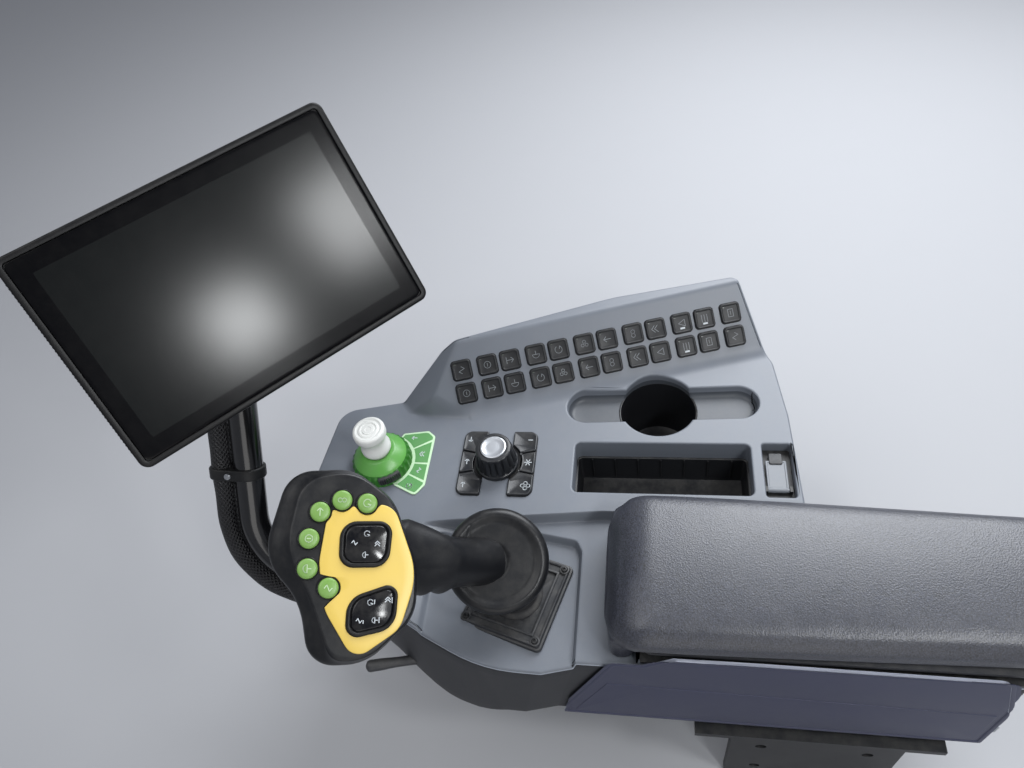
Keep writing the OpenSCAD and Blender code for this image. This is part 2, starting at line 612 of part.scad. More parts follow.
// Arm pad on its hinged lid
pad_z = lid_z + fit + lid_t;
pad_c = [pad_x - pad_w / 2, pad_front - pad_l / 2];
module pad_lid() color("#25272a") difference() {
  on_deck() {
    slab([[pad_x - 8, pad_front - pad_l + 14, 8], [pad_x - 8, pad_front - 34, 8],
      [pad_x - pad_w + 8, pad_front - 34, 8], [pad_x - pad_w + 8, pad_front - pad_l + 14, 8]],
      lid_z + fit, pad_z - 0.05);
    for (s = [-1, 1]) translate([pad_c[0] + s * 45 - 8, hinge_y, hinge_z]) {
      rotate([0, 90, 0]) cylinder(r = 6, h = 16);
      translate([0, -6, 0]) cube([16, 12, lid_z + fit + 1 - hinge_z]);
    }
  }
  on_deck() translate([pad_c[0] - 100, hinge_y, hinge_z]) rotate([0, 90, 0])
    cylinder(r = pin_r + pin_fit, h = 200);
}
module arm_pad() color("#34363b") on_deck() {
  slab(box_at(pad_c, pad_w, pad_l, 18), pad_z + 8, pad_z + pad_t - 8);
  slab(box_at(pad_c, pad_w - 14, pad_l - 8, 14), pad_z, pad_z + 8);
  slab(box_at(pad_c, pad_w - 14, pad_l - 14, 14), pad_z + pad_t - 8, pad_z + pad_t);
  slab([[pad_x - 2, skirt_y + 1, 6], [pad_x - 2, pad_front - 3, 9], [0.5 - inner_x, pad_front - 3, 9],
    [0.5 - inner_x, skirt_y + 1, 6]], -ledge_h + fit, pad_z + 1);
}
function box_at(c, w, l, r) = [for (p = box4(w, l, r)) [p[0] + c[0], p[1] + c[1], p[2]]];
module lid_pins() color("#9a9da1") on_deck() for (s = [-1, 1])
  translate([pad_c[0] + s * 45, hinge_y, hinge_z]) {
    translate([-16, 0, 0]) rotate([0, 90, 0]) cylinder(r = pin_r, h = 32);
    for (e = [-16, 10]) difference() {
      union() {
        translate([e, -5, -20]) cube([6, 12 - fit, 14]);
        translate([e, -5, -7]) cube([6, 10, 7]);
        translate([e, 0, 0]) rotate([0, 90, 0]) cylinder(r = 5, h = 6);
      }
      translate([e - 1, 0, 0]) rotate([0, 90, 0]) cylinder(r = pin_r - 0.01, h = 8);
    }
  }

// Display on its tube
tube_bend = 70;
module support_tube() color("#17181a") on_deck()
  swept_rod(bent_line(tube_foot, tube_knee, tube_top, tube_bend), tube_d / 2, 32);
module tube_head() color("#5f6367") on_deck() {
  bar(tube_top + tube_up * 0.05, tube_top + tube_up * 6, tube_d / 2 + 1);
  bar(tube_top + tube_up, pivot - tube_up * pin_end, swivel_r);
}
// The sleeve follows the tube on the outside of its bend
sleeve_off = tube_d / 2 + sleeve_d / 2 + 1;
side_low = unit(cross(tube_low, cross(tube_up, tube_low)));
side_up = unit(cross(tube_up, cross(tube_low, tube_up)));
sleeve_pts = [tube_foot - side_low * sleeve_off + tube_low * 30,
  tube_knee + (tube_low - tube_up) * sleeve_off / norm(cross(tube_low, tube_up)),
  tube_top + side_up * sleeve_off - tube_up * 14];
module cable_sleeve() color("#1c1d1f") on_deck()
  swept_rod(bent_line(sleeve_pts[0], sleeve_pts[1], sleeve_pts[2], tube_bend + sleeve_off),
    sleeve_d / 2, 24);
// Clips at these distances below the tube's top
module sleeve_clips() color("#101113") on_deck() for (s = [30, 150]) difference() {
  c = tube_top - tube_up * s;
  union() {
    bar(c, c + tube_up * 12, tube_d / 2 + 2.5);
    bar(c + side_up * sleeve_off, c + side_up * sleeve_off + tube_up * 12, sleeve_d / 2 + 2.5);
  }
  bar(c - tube_up * 20, c + tube_up * 40, tube_d / 2 + 0.05);
  bar(c + side_up * sleeve_off - tube_up * 20, c + side_up * sleeve_off + tube_up * 40,
    sleeve_d / 2 + 0.05);
}
module tube_flange() color("#1d1e20") on_deck() difference() {
  union() {
    bar(tube_foot + tube_low * 20, tube_foot + tube_low * 46, tube_d / 2 + 9);
    bar(sleeve_pts[0] - tube_low * 10, sleeve_pts[0] + tube_low * 16, sleeve_d / 2 + 7);
  }
  body_form(-fit);
  bar(tube_foot, tube_knee, tube_d / 2 + 0.05);
  bar(sleeve_pts[0] - tube_low * 20, sleeve_pts[1], sleeve_d / 2 + 0.05);
}
module display_knuckle() color("#1d1e20") difference() {
  union() {
    on_deck() {
      bar(tube_top + tube_up * (6 + fit), pivot - tube_up * 24, 16);
      bar(pivot - tube_up * 25, pivot, 8.5);
    }
    on_screen() translate([-15, 0, -pivot_back]) rotate([0, 90, 0]) cylinder(r = 13, h = 30);
  }
  on_deck() bar(tube_top, pivot - tube_up * (pin_end - fit), swivel_r + pin_fit);
  on_screen() translate([-40, 0, -pivot_back]) rotate([0, 90, 0])
    cylinder(r = tilt_r + pin_fit, h = 80);
}
module display_hinge() color("#141517") on_screen() {
  translate([-24, 0, -pivot_back]) rotate([0, 90, 0]) cylinder(r = tilt_r, h = 48);
  for (x = [-22, 16]) {
    translate([x, 0, -pivot_back]) rotate([0, 90, 0]) cylinder(r = 12, h = 6);
    translate([x, -12, -pivot_back]) cube([6, 24, pivot_back - disp_t - fit]);
  }
  difference() {
    translate([-50, -50, -disp_t - 3 - fit]) cube([100, 100, 3]);
    for (x = [-1, 1], y = [-1, 1]) translate([x * 37.5, y * 37.5, -disp_t - 10])
      cylinder(d = 5, h = 20);
  }
}
module display_housing() color("#1b1c1e") on_screen() {
  difference() {
    slab(box4(disp_w, disp_h, disp_r), -disp_t, 0);
    slab(box4(disp_w - 2 * disp_edge, disp_h - 2 * disp_edge, disp_r - 3), -3, 10);
  }
}
module display_glass() color("#0b0c0e") on_screen()
  slab(box4(disp_w - 2 * disp_edge - 2 * fit, disp_h - 2 * disp_edge - 2 * fit, disp_r - 3),
    -3 + 0.05, -0.5);

module height_lever() color("#1c1d1e") on_deck() lever_bar(0);

seat_bracket();
slide_rail_inner();
slide_rail_outer();
slide_runner_inner();
slide_runner_outer();
console_tub();
console_deck();
side_panel();
cup_insert();
tray_bin();
storage_bin();
panel_keys();
dial_base();
dial_insert();
dial_knob();
dial_legend();
jog_knob();
jog_cap();
jog_keys();
stick_base();
stick_gaiter();
gimbal_seat();
stick_yoke();
stick_stalk();
stick_boot();
stick_rest();
stick_neck();
stick_head();
stick_face();
stick_buttons();
rocker_upper();
rocker_lower();
stick_trigger();
socket_box();
socket_flap();
pad_lid();
arm_pad();
lid_pins();
support_tube();
tube_head();
cable_sleeve();
sleeve_clips();
tube_flange();
display_knuckle();
display_hinge();
display_housing();
display_glass();
height_lever();
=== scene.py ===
# %% [markdown]
# # An operator's control armrest, dressed step by step
# The CAD model holds every piece at its true size, and its joints. This notebook gives that
# model the look of the real armrest: soft edges, moulded plastic, a foam pad and small signs.
# Each new piece is a surface worked out with numpy in the CAD model's own frame.

# %% The frame and the units
import math

import bmesh
import bpy
import numpy as np
from mathutils import Matrix
from mathutils.geometry import tessellate_polygon


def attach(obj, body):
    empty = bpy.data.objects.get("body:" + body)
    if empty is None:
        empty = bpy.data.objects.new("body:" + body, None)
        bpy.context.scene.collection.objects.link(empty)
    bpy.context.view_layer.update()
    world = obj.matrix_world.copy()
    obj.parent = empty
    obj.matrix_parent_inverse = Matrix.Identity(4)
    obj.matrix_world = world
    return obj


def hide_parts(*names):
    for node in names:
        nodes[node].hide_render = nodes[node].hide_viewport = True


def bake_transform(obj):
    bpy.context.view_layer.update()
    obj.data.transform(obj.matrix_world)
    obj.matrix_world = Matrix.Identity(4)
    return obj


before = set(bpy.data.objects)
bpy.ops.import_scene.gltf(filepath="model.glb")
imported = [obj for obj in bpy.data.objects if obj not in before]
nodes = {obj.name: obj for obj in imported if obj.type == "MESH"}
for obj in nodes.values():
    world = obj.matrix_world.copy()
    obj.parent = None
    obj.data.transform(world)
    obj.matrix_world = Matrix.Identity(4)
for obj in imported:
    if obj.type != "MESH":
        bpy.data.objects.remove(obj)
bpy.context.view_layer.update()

# %% [markdown]
# The photograph is the measure of the looks, so the camera comes before any piece. Its place
# and turn were fitted once to the cup holder, the tray and the display, whose real sizes are
# known; a lens of 27 mm on a 36 mm sensor gives the photograph's perspective.

# %% The photograph's camera
CAMERA_AT = (-0.23196, 0.14977, 0.88581)
IMAGE_RIGHT = (0.11668676, -0.98245353, -0.14549659)
IMAGE_DOWN = (-0.77082642, 0.00279075, -0.63703912)
FORWARD = (0.62626738, 0.18648665, -0.7569755)
camera = bpy.data.objects.new("camera", bpy.data.cameras.new("camera"))
bpy.context.scene.collection.objects.link(camera)
camera.data.sensor_width = 36.0
camera.data.lens = 27.07
camera.data.clip_start = 0.02
axes = np.array([IMAGE_RIGHT, -np.array(IMAGE_DOWN), -np.array(FORWARD), CAMERA_AT]).T
camera.matrix_world = Matrix(np.vstack([axes, [0, 0, 0, 1]]).tolist())
bpy.context.scene.camera = camera
print("camera looks along", FORWARD)

# %% [markdown]
# A studio is only a floor, an even pale world and soft lamps. The widest lamp stands above the
# outboard side and gives satin plastic its long soft shine.

# %% Studio
scene = bpy.context.scene
scene.view_settings.view_transform = "Standard"
world = bpy.data.worlds.new("pale_room")
scene.world = world
world.use_nodes = True
background = world.node_tree.nodes["Background"]
background.inputs["Color"].default_value = (0.86, 0.9, 1.0, 1)
background.inputs["Strength"].default_value = 0.32


def soft_lamp(name, place, target, width, power, colour):
    """A square area lamp at a place that shines towards a target, both in metres."""
    lamp = bpy.data.lights.new(name, "AREA")
    lamp.size = width
    lamp.energy = power
    lamp.color = colour
    holder = bpy.data.objects.new(name, lamp)
    scene.collection.objects.link(holder)
    back = np.array(place, float) - np.array(target, float)
    back /= np.linalg.norm(back)
    side = np.cross([0, 0, 1.0], back)
    side /= np.linalg.norm(side)
    up = np.cross(back, side)
    stand = np.array([side, up, back, place]).T
    holder.matrix_world = Matrix(np.vstack([stand, [0, 0, 0, 1]]).tolist())


soft_lamp("outboard", (1.4, -0.35, 1.45), (0.2, 0.1, 0.2), 1.3, 46, (0.93, 0.96, 1.0))
soft_lamp("roof", (-0.1, 0.9, 1.7), (0.15, 0.15, 0.2), 1.0, 7, (1.0, 1.0, 1.0))
soft_lamp("fill", (-1.6, -0.15, 0.4), (0.0, 0.1, 0.1), 1.2, 6, (1.0, 0.98, 0.95))
print("three soft lamps")

# %% [markdown]
# Sizes read best in millimetres from one landmark, so most places are given from the centre
# of the cup holder on the deck. A grid of points becomes quads by joining each point to its
# next neighbours, and closed shapes are welded where their ends meet.

# %% From numbers to meshes
DECK = np.array([285.0, 150.0, 225.0])


def metres(points):
    """Millimetres from the cup's centre to metres in the frame: add DECK, divide by 1000."""
    return (np.asarray(points, float) + DECK) / 1000.0


def unit(vector):
    """A vector divided by its length."""
    vector = np.asarray(vector, float)
    return vector / np.linalg.norm(vector, axis=-1, keepdims=True)


def ease(x):
    """0 below 0, 1 above 1, and 3x^2 - 2x^3 between, which starts and ends level."""
    x = np.clip(x, 0.0, 1.0)
    return x * x * (3 - 2 * x)


def quads(rows, cols, wrap_cols=False):
    """Quads of a grid of points: each square joins (i, j), (i+1, j), (i+1, j+1), (i, j+1)."""
    index = np.arange(rows * cols).reshape(rows, cols)
    if wrap_cols:
        index = np.hstack([index, index[:, :1]])
    square = [index[:-1, :-1], index[1:, :-1], index[1:, 1:], index[:-1, 1:]]
    return np.stack(square, -1).reshape(-1, 4)


print("the cup's centre is at", metres([0, 0, 0]), "metres")

# %% [markdown]
# Every new piece goes through one function, which welds its patches, turns the faces outwards,
# marks the creases, hangs it on the body that carries it and hides the CAD nodes it stands for.

# %% A piece from patches
def piece(name, patches, looks, body, stands_for=(), crease=40.0, outward=True,
          uv=None):
    """One mesh from patches (points, faces, number of the look), welded where points meet and
    smooth up to a crease in degrees."""
    points = np.concatenate([np.asarray(p[0], float).reshape(-1, 3) for p in patches])
    loops, sizes, look_of, base = [], [], [], 0
    for patch in patches:
        for faces in patch[1] if isinstance(patch[1], list) else [patch[1]]:
            faces = np.asarray(faces) + base
            loops.append(faces.ravel())
            sizes.append(np.full(len(faces), faces.shape[1]))
            look_of.append(np.full(len(faces), patch[2] if len(patch) > 2 else 0))
        base += len(np.asarray(patch[0]).reshape(-1, 3))
    loops, sizes = np.concatenate(loops), np.concatenate(sizes)
    mesh = bpy.data.meshes.new(name)
    mesh.vertices.add(len(points))
    mesh.vertices.foreach_set("co", metres(points).ravel())
    mesh.loops.add(len(loops))
    mesh.loops.foreach_set("vertex_index", loops.astype(np.int32))
    mesh.polygons.add(len(sizes))
    starts = np.concatenate([[0], np.cumsum(sizes)[:-1]]).astype(np.int32)
    mesh.polygons.foreach_set("loop_start", starts)
    mesh.polygons.foreach_set("material_index", np.concatenate(look_of).astype(np.int32))
    mesh.update(calc_edges=True)
    if uv is not None:
        layer = mesh.uv_layers.new(name="along")
        layer.data.foreach_set("uv", np.asarray(uv, np.float32)[loops].ravel())
    for look in looks:
        mesh.materials.append(look)
    work = bmesh.new()
    work.from_mesh(mesh)
    bmesh.ops.remove_doubles(work, verts=work.verts, dist=2e-5)
    bmesh.ops.dissolve_degenerate(work, edges=work.edges, dist=1e-6)
    if outward:
        bmesh.ops.recalc_face_normals(work, faces=work.faces)
    work.to_mesh(mesh)
    work.free()
    mesh.validate()
    mesh.polygons.foreach_set("use_smooth", np.ones(len(mesh.polygons), bool))
    mesh.set_sharp_from_angle(angle=math.radians(crease))
    thing = bpy.data.objects.new(name, mesh)
    scene.collection.objects.link(thing)
    if body:
        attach(thing, body)
    if stands_for:
        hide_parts(*stands_for)
    print(name, len(mesh.polygons), "faces")
    return thing


# %% [markdown]
# Most moulded pieces are an outline carried through a profile: every ring is the outline moved
# in or out and lifted. Corners are given with their radii, and turned into points once.

# %% Outlines and rings
ALL_BUT_STRAIGHT = 1.57


def rounded(corners, arc=8.0, step=6.0):
    """Closed outline from corners (x, y, radius): an arc in each corner, straight between. A
    corner that is all but straight stays a point."""
    points = []
    for i, (x, y, radius) in enumerate(corners):
        here = np.array([x, y], float)
        before = unit(np.array(corners[i - 1][:2], float) - here)
        after = unit(np.array(corners[(i + 1) % len(corners)][:2], float) - here)
        half = math.acos(np.clip(before @ after, -1, 1)) / 2
        if radius <= 0 or half > ALL_BUT_STRAIGHT:
            points.append(here[None])
            continue
        middle = here + unit(before + after) * radius / math.sin(half)
        start = here + before * radius / math.tan(half) - middle
        way = 1 if before[0] * after[1] - before[1] * after[0] < 0 else -1
        steps = max(2, math.ceil(math.degrees(math.pi - 2 * half) / arc))
        t = np.linspace(0, way * (math.pi - 2 * half), steps + 1)
        bow = np.stack([start[0] * np.cos(t) - start[1] * np.sin(t),
                        start[0] * np.sin(t) + start[1] * np.cos(t)], 1)
        points.append(middle + bow)
    return finer(np.concatenate(points), step)


def finer(outline, step, closed=True):
    """The same line with points added wherever two lie further apart than the step."""
    line = np.vstack([outline, outline[:1]]) if closed else np.asarray(outline, float)
    gaps = np.linalg.norm(np.diff(line, axis=0), axis=1)
    counts = np.maximum(1, np.ceil(gaps / step)).astype(int)
    parts = [line[i] + (line[i + 1] - line[i]) * np.arange(n)[:, None] / n
             for i, n in enumerate(counts)]
    return np.concatenate(parts + ([] if closed else [line[-1:]]))


def outward_of(outline):
    """Outward normals of an anticlockwise outline: its tangent turned a quarter right."""
    tangent = np.roll(outline[:, :2], -1, 0) - np.roll(outline[:, :2], 1, 0)
    return unit(np.stack([tangent[:, 1], -tangent[:, 0]], 1))


def rings(outline, profile):
    """Grid of rings: ring k is the outline moved out by profile[k][0] at height profile[k][1].
    A ring that moves in stays inside the outline's box, moved in as far, so that no corner
    turns inside out."""
    profile = np.asarray(profile, float)
    flat = outline[None, :, :2] + outward_of(outline)[None] * profile[:, None, None, 0]
    room = -profile[:, None, None, 0]
    flat = np.clip(flat, outline[:, :2].min(0) + room, outline[:, :2].max(0) - room)
    height = np.broadcast_to(profile[:, None, None, 1], flat.shape[:2] + (1,))
    return np.concatenate([flat, height], -1)


def side_profile(low, high, top_r, low_r=0.0, steps=5):
    """Side of a slab: lower edge rounded by low_r, straight up, upper edge rounded by top_r."""
    t = np.linspace(0, np.pi / 2, steps + 1)
    foot = np.stack([-low_r * (1 - np.sin(t)), low + low_r * (1 - np.cos(t))], 1)
    head = np.stack([-top_r * (1 - np.cos(t)), high - top_r * (1 - np.sin(t))], 1)
    return np.vstack([foot if low_r else [[0.0, low]], head])


def shell(grid, caps="both"):
    """Points and faces of closed rings, with an n-gon over the first and the last ring."""
    rows, cols = grid.shape[:2]
    faces = [quads(rows, cols, wrap_cols=True)]
    if caps in ("both", "low"):
        faces.append(np.arange(cols)[None, ::-1])
    if caps in ("both", "top"):
        faces.append((rows - 1) * cols + np.arange(cols)[None])
    return grid.reshape(-1, 3), faces


def slab(outline, low, high, top_r, low_r=0.0, steps=5, dome=0.0):
    """A slab with rounded edges; its top may be domed, as height dome * (1 - s^2) inwards."""
    grid = rings(outline, side_profile(low, high, top_r, low_r, steps))
    if dome:
        centre = grid[-1].mean(0)
        scale = np.linspace(0.92, 0.08, 9)[:, None, None]
        cap = centre + (grid[-1][None] - centre) * scale
        cap[..., 2] = high + dome * (1 - scale[..., 0] ** 2)
        grid = np.concatenate([grid, cap])
    return shell(grid)


# %% [markdown]
# Knobs are turned forms, tubes are circles along a path, and signs are flat strokes. Each is
# made about its own origin, then turned and set at its place.

# %% Turned forms, rods and strokes
def turned(profile, sides=64, wave=None):
    """A turned form: profile points (radius, height) on circles, the radius waved if asked."""
    profile = np.asarray(profile, float)
    t = np.linspace(0, 2 * np.pi, sides, endpoint=False)
    radius = profile[:, None, 0] * np.ones(sides)
    if wave is not None:
        radius = radius + wave(t[None], profile[:, None, 1], profile[:, None, 0])
    height = np.broadcast_to(profile[:, None, 1], radius.shape)
    return np.stack([radius * np.cos(t), radius * np.sin(t), height], -1)


def moved(patch, at, turn=None):
    """A patch turned by a matrix and set at a place."""
    points = np.asarray(patch[0], float).reshape(-1, 3)
    points = points @ turn.T if turn is not None else points
    return (points + np.asarray(at, float),) + tuple(patch[1:])


def spin(x=0.0, y=0.0, z=0.0):
    """Matrix of turns about X, then Y, then Z, in degrees."""
    a, b, c = np.radians([x, y, z])
    about_x = np.array([[1, 0, 0], [0, np.cos(a), -np.sin(a)], [0, np.sin(a), np.cos(a)]])
    about_y = np.array([[np.cos(b), 0, np.sin(b)], [0, 1, 0], [-np.sin(b), 0, np.cos(b)]])
    about_z = np.array([[np.cos(c), -np.sin(c), 0], [np.sin(c), np.cos(c), 0], [0, 0, 1]])
    return about_z @ about_y @ about_x


def rod(path, radius, sides=32):
    """Circles square to a path; the radius is one value or one for each point."""
    path = np.asarray(path, float)
    along = unit(np.gradient(path, axis=0))
    across = np.cross(along[0], [0.3, 0.2, 0.93])
    first = unit(np.cross(along, unit(across)))
    second = np.cross(along, first)
    t = np.linspace(0, 2 * np.pi, sides, endpoint=False)[None, :, None]
    radius = np.broadcast_to(np.asarray(radius, float), (len(path),))[:, None, None]
    return path[:, None] + radius * (first[:, None] * np.cos(t) + second[:, None] * np.sin(t))


def ribbons(lines, width, height=0.0):
    """Flat strokes: each segment becomes a quad of one width, a little over-long at its ends."""
    ends = np.concatenate([np.stack([np.array(v[:-1], float), np.array(v[1:], float)], 1)
                           for v in lines])
    along = unit(ends[:, 1] - ends[:, 0]) * width / 2
    left = np.stack([-along[:, 1], along[:, 0]], 1)
    near, far = ends[:, 0] - along * 0.7, ends[:, 1] + along * 0.7
    flat = np.stack([near + left, near - left, far - left, far + left], 1).reshape(-1, 2)
    points = np.concatenate([flat, np.full((len(flat), 1), height)], 1)
    return points, np.arange(len(points)).reshape(-1, 4)


# %% [markdown]
# Moulded plastic is never one flat colour. It has a fine grain from its mould, broad smudges
# where hands rest, and a little dust on what faces up. All finishes share these, so they live
# in one node group that gives a colour, a roughness and a height, each changing over the part.

# %% Node helpers
def linear(red, green, blue):
    """A colour given in 0 to 255, as the linear light that Blender mixes."""
    c = np.array([red, green, blue]) / 255.0
    c = np.where(c <= 0.04045, c / 12.92, ((c + 0.055) / 1.055) ** 2.4)
    return (*c.tolist(), 1.0)


def add(tree, kind, settings=None, **values):
    """A node of a kind, with its settings and the values of its inputs."""
    made_node = tree.nodes.new(kind)
    for key, value in (settings or {}).items():
        setattr(made_node, key, value)
    for key, value in values.items():
        socket = made_node.inputs[int(key[1:]) if key[1:].isdigit() else key.replace("_", " ")]
        if isinstance(value, bpy.types.NodeSocket):
            tree.links.new(value, socket)
        else:
            socket.default_value = value
    return made_node


def calc(tree, operation, first, second=0.0, third=None, clamp=False):
    """One step of arithmetic on values that change over the surface."""
    extra = {} if third is None else {"i2": third}
    step = add(tree, "ShaderNodeMath", {"operation": operation, "use_clamp": clamp},
               i0=first, i1=second, **extra)
    return step.outputs[0]


def blend_colours(tree, factor, first, second, mode="MIX"):
    """Two colours mixed by a factor."""
    mix = tree.nodes.new("ShaderNodeMix")
    mix.data_type = "RGBA"
    mix.blend_type = mode
    for index, value in ((0, factor), (6, first), (7, second)):
        if isinstance(value, bpy.types.NodeSocket):
            tree.links.new(value, mix.inputs[index])
        else:
            mix.inputs[index].default_value = value
    return mix.outputs[2]


def new_group(name, inputs, outputs):
    """An empty node group with named sockets; a colour socket's name ends in colour."""
    tree = bpy.data.node_groups.new(name, "ShaderNodeTree")
    for names, way in ((inputs, "INPUT"), (outputs, "OUTPUT")):
        for label in names:
            kind = "NodeSocketColor" if label.endswith("colour") else "NodeSocketFloat"
            tree.interface.new_socket(label, in_out=way, socket_type=kind)
    return tree, tree.nodes.new("NodeGroupInput"), tree.nodes.new("NodeGroupOutput")


# %% The group that every finish uses
def build_handled_surface():
    """Colour, roughness and grain height of a surface that has been handled for a while."""
    tree, given, result = new_group(
        "handled_surface",
        ["Base colour", "Dust colour", "Smudge", "Dust", "Speckle", "Roughness", "Grain"],
        ["Surface colour", "Surface roughness", "Height"])
    place = add(tree, "ShaderNodeTexCoord").outputs["Object"]
    broad = add(tree, "ShaderNodeTexNoise", Vector=place, Scale=16.0, Detail=5.0,
                Roughness=0.62).outputs[0]
    patchy = add(tree, "ShaderNodeTexNoise", Vector=place, Scale=70.0, Detail=4.0,
                 Roughness=0.7).outputs[0]
    pits = add(tree, "ShaderNodeTexVoronoi", Vector=place, Scale=given.outputs["Grain"])
    crumbs = add(tree, "ShaderNodeTexNoise", Vector=place, Detail=2.0,
                 Scale=given.outputs["Grain"]).outputs[0]
    height = calc(tree, "MULTIPLY_ADD", pits.outputs["Distance"], 0.7,
                  calc(tree, "MULTIPLY", crumbs, 0.5))
    normal = add(tree, "ShaderNodeNewGeometry").outputs["Normal"]
    upwards = add(tree, "ShaderNodeSeparateXYZ", Vector=normal).outputs["Z"]
    lying = add(tree, "ShaderNodeMapRange", Value=upwards, From_Min=0.35).outputs[0]
    settled = add(tree, "ShaderNodeMapRange", Value=patchy, From_Min=0.38,
                  From_Max=0.72).outputs[0]
    dust = calc(tree, "MULTIPLY", calc(tree, "MULTIPLY", lying, settled), given.outputs["Dust"])
    swing = calc(tree, "MULTIPLY", calc(tree, "SUBTRACT", broad, 0.5), given.outputs["Smudge"])
    shade = calc(tree, "ADD", 1.0, swing)
    points = calc(tree, "MULTIPLY", calc(tree, "SUBTRACT", crumbs, 0.5),
                  given.outputs["Speckle"])
    shade = calc(tree, "ADD", shade, points)
    grey = add(tree, "ShaderNodeCombineColor", Red=shade, Green=shade, Blue=shade).outputs[0]
    toned = blend_colours(tree, 1.0, given.outputs["Base colour"], grey, "MULTIPLY")
    dusty = blend_colours(tree, dust, toned, given.outputs["Dust colour"])
    tree.links.new(dusty, result.inputs["Surface colour"])
    rough = calc(tree, "MULTIPLY_ADD", swing, 0.5, given.outputs["Roughness"])
    rough = calc(tree, "MULTIPLY_ADD", dust, 0.3, rough, clamp=True)
    tree.links.new(rough, result.inputs["Surface roughness"])
    tree.links.new(height, result.inputs["Height"])
    return tree


handled_surface = build_handled_surface()
print("handled surface has", len(handled_surface.nodes), "nodes")

# %% A finish from the group
COAT_ROUGHNESS, DUST_COLOUR = 0.1, (150, 146, 138)
finishes = {}


def finish(name, colour, rough, grain=900.0, depth=0.05, smudge=0.25, dust=0.1, speckle=0.0,
           metal=0.0, coat=0.0, specular=0.5):
    """A material from the shared group: colour given in 0 to 255, grain cells to a metre, bump in
    mm.
    """
    material = bpy.data.materials.new(name)
    material.use_nodes = True
    tree = material.node_tree
    shader = tree.nodes["Principled BSDF"]
    marks = add(tree, "ShaderNodeGroup", {"node_tree": handled_surface})
    marks.inputs["Base colour"].default_value = linear(*colour)
    marks.inputs["Dust colour"].default_value = linear(*DUST_COLOUR)
    for label, value in (("Smudge", smudge), ("Dust", dust), ("Speckle", speckle),
                         ("Roughness", rough), ("Grain", grain)):
        marks.inputs[label].default_value = value
    bump = add(tree, "ShaderNodeBump", Strength=0.6, Distance=depth / 1000.0,
               Height=marks.outputs["Height"])
    tree.links.new(marks.outputs["Surface colour"], shader.inputs["Base Color"])
    tree.links.new(marks.outputs["Surface roughness"], shader.inputs["Roughness"])
    tree.links.new(bump.outputs["Normal"], shader.inputs["Normal"])
    for label, value in (("Metallic", metal), ("Coat Weight", coat),
                         ("Coat Roughness", COAT_ROUGHNESS), ("Specular IOR Level", specular)):
        shader.inputs[label].default_value = value
    finishes[name] = material
    return material


# %% [markdown]
# The colours were judged against the photograph. The deck is a light grey plastic and the body
# a dark one, both with a satin grain. The grip is darker and smoother, the pad is a soft skin
# with a speckle, and the display's tube is glossy paint. Metal parts are dull zinc or black.

# %% The finishes
DECK_GREY = finish("deck_grey", (106, 111, 119), 0.4, grain=1100, depth=0.05, smudge=0.12,
                   dust=0.06)
# A light grey for the lower part of the deck's rounded edge: a painted highlight where the edge
# would catch the light.
DECK_EDGE_HIGHLIGHT = finish("deck_edge_painted_highlight", (158, 165, 175), 0.4, grain=1100, depth=0.03, smudge=0.5)
# A darker grey for the lower walls and floor of the slot and the cup opening: painted shade in the
# recess.
SLOT_SHADE_GREY = finish("slot_painted_shade", (70, 74, 80), 0.42, grain=1100, depth=0.05, smudge=0.2, dust=0.05)
BODY_GREY = finish("body_grey", (38, 39, 43), 0.5, grain=900, depth=0.06, dust=0.12, specular=0.4)
TUB_BLACK = finish("tub_black", (50, 51, 55), 0.55, grain=800, depth=0.07, dust=0.1)
PANEL_BLUE = finish("panel_blue", (50, 53, 76), 0.48, grain=800, depth=0.08, smudge=0.3,
                    dust=0.05)
LINER_BLACK = finish("liner_black", (22, 23, 26), 0.45, grain=1000, depth=0.05, dust=0.12)
KEY_RUBBER = finish("key_rubber", (22, 23, 26), 0.42, grain=1500, depth=0.03, dust=0.08,
                    specular=0.4)
SIGN_PALE = finish("sign_pale", (190, 196, 200), 0.5, grain=2000, depth=0.01, smudge=0.3)
LAMP_DARK = finish("lamp_dark", (70, 74, 70), 0.25, grain=2000, depth=0.01)
DIAL_GREEN = finish("dial_green", (38, 104, 24), 0.34, grain=1300, depth=0.03, smudge=0.35)
# A lighter copy of the dial's green for its top cone: painted light on the faces that look up.
DIAL_TOP_PAINTED_LIGHT = finish("dial_top", (92, 158, 72), 0.32, grain=1300, depth=0.02, smudge=0.25)
LEGEND_PALE = finish("legend_pale", (186, 216, 178), 0.42, grain=1500, depth=0.01)
LEGEND_CELL = finish("legend_cell", (86, 144, 82), 0.42, grain=1500, depth=0.01)
KNOB_WHITE = finish("knob_white", (222, 223, 219), 0.36, grain=1500, depth=0.02, smudge=0.12)
JOG_BLACK = finish("jog_black", (28, 30, 34), 0.36, grain=1400, depth=0.03)
CAP_SILVER = finish("cap_silver", (196, 199, 203), 0.3, metal=0.75, smudge=0.2, depth=0.01)
BASE_GREY = finish("base_grey", (44, 45, 48), 0.46, grain=1000, depth=0.06, dust=0.15)
BELLOWS = finish("bellows_rubber", (36, 36, 38), 0.62, grain=1200, depth=0.05, dust=0.3)
GRIP = finish("grip_plastic", (17, 18, 21), 0.36, grain=1300, depth=0.05, smudge=0.4, dust=0.06,
              specular=0.36)
FACE_YELLOW = finish("face_yellow", (214, 184, 88), 0.36, grain=1500, depth=0.01, smudge=0.08,
                     dust=0.05)
THUMB_GREEN = finish("thumb_green", (112, 152, 72), 0.36, grain=1500, depth=0.01, smudge=0.15)
ROCKER_GLOSS = finish("rocker_gloss", (7, 8, 13), 0.16, grain=2000, depth=0.005, smudge=0.3,
                      specular=0.35)
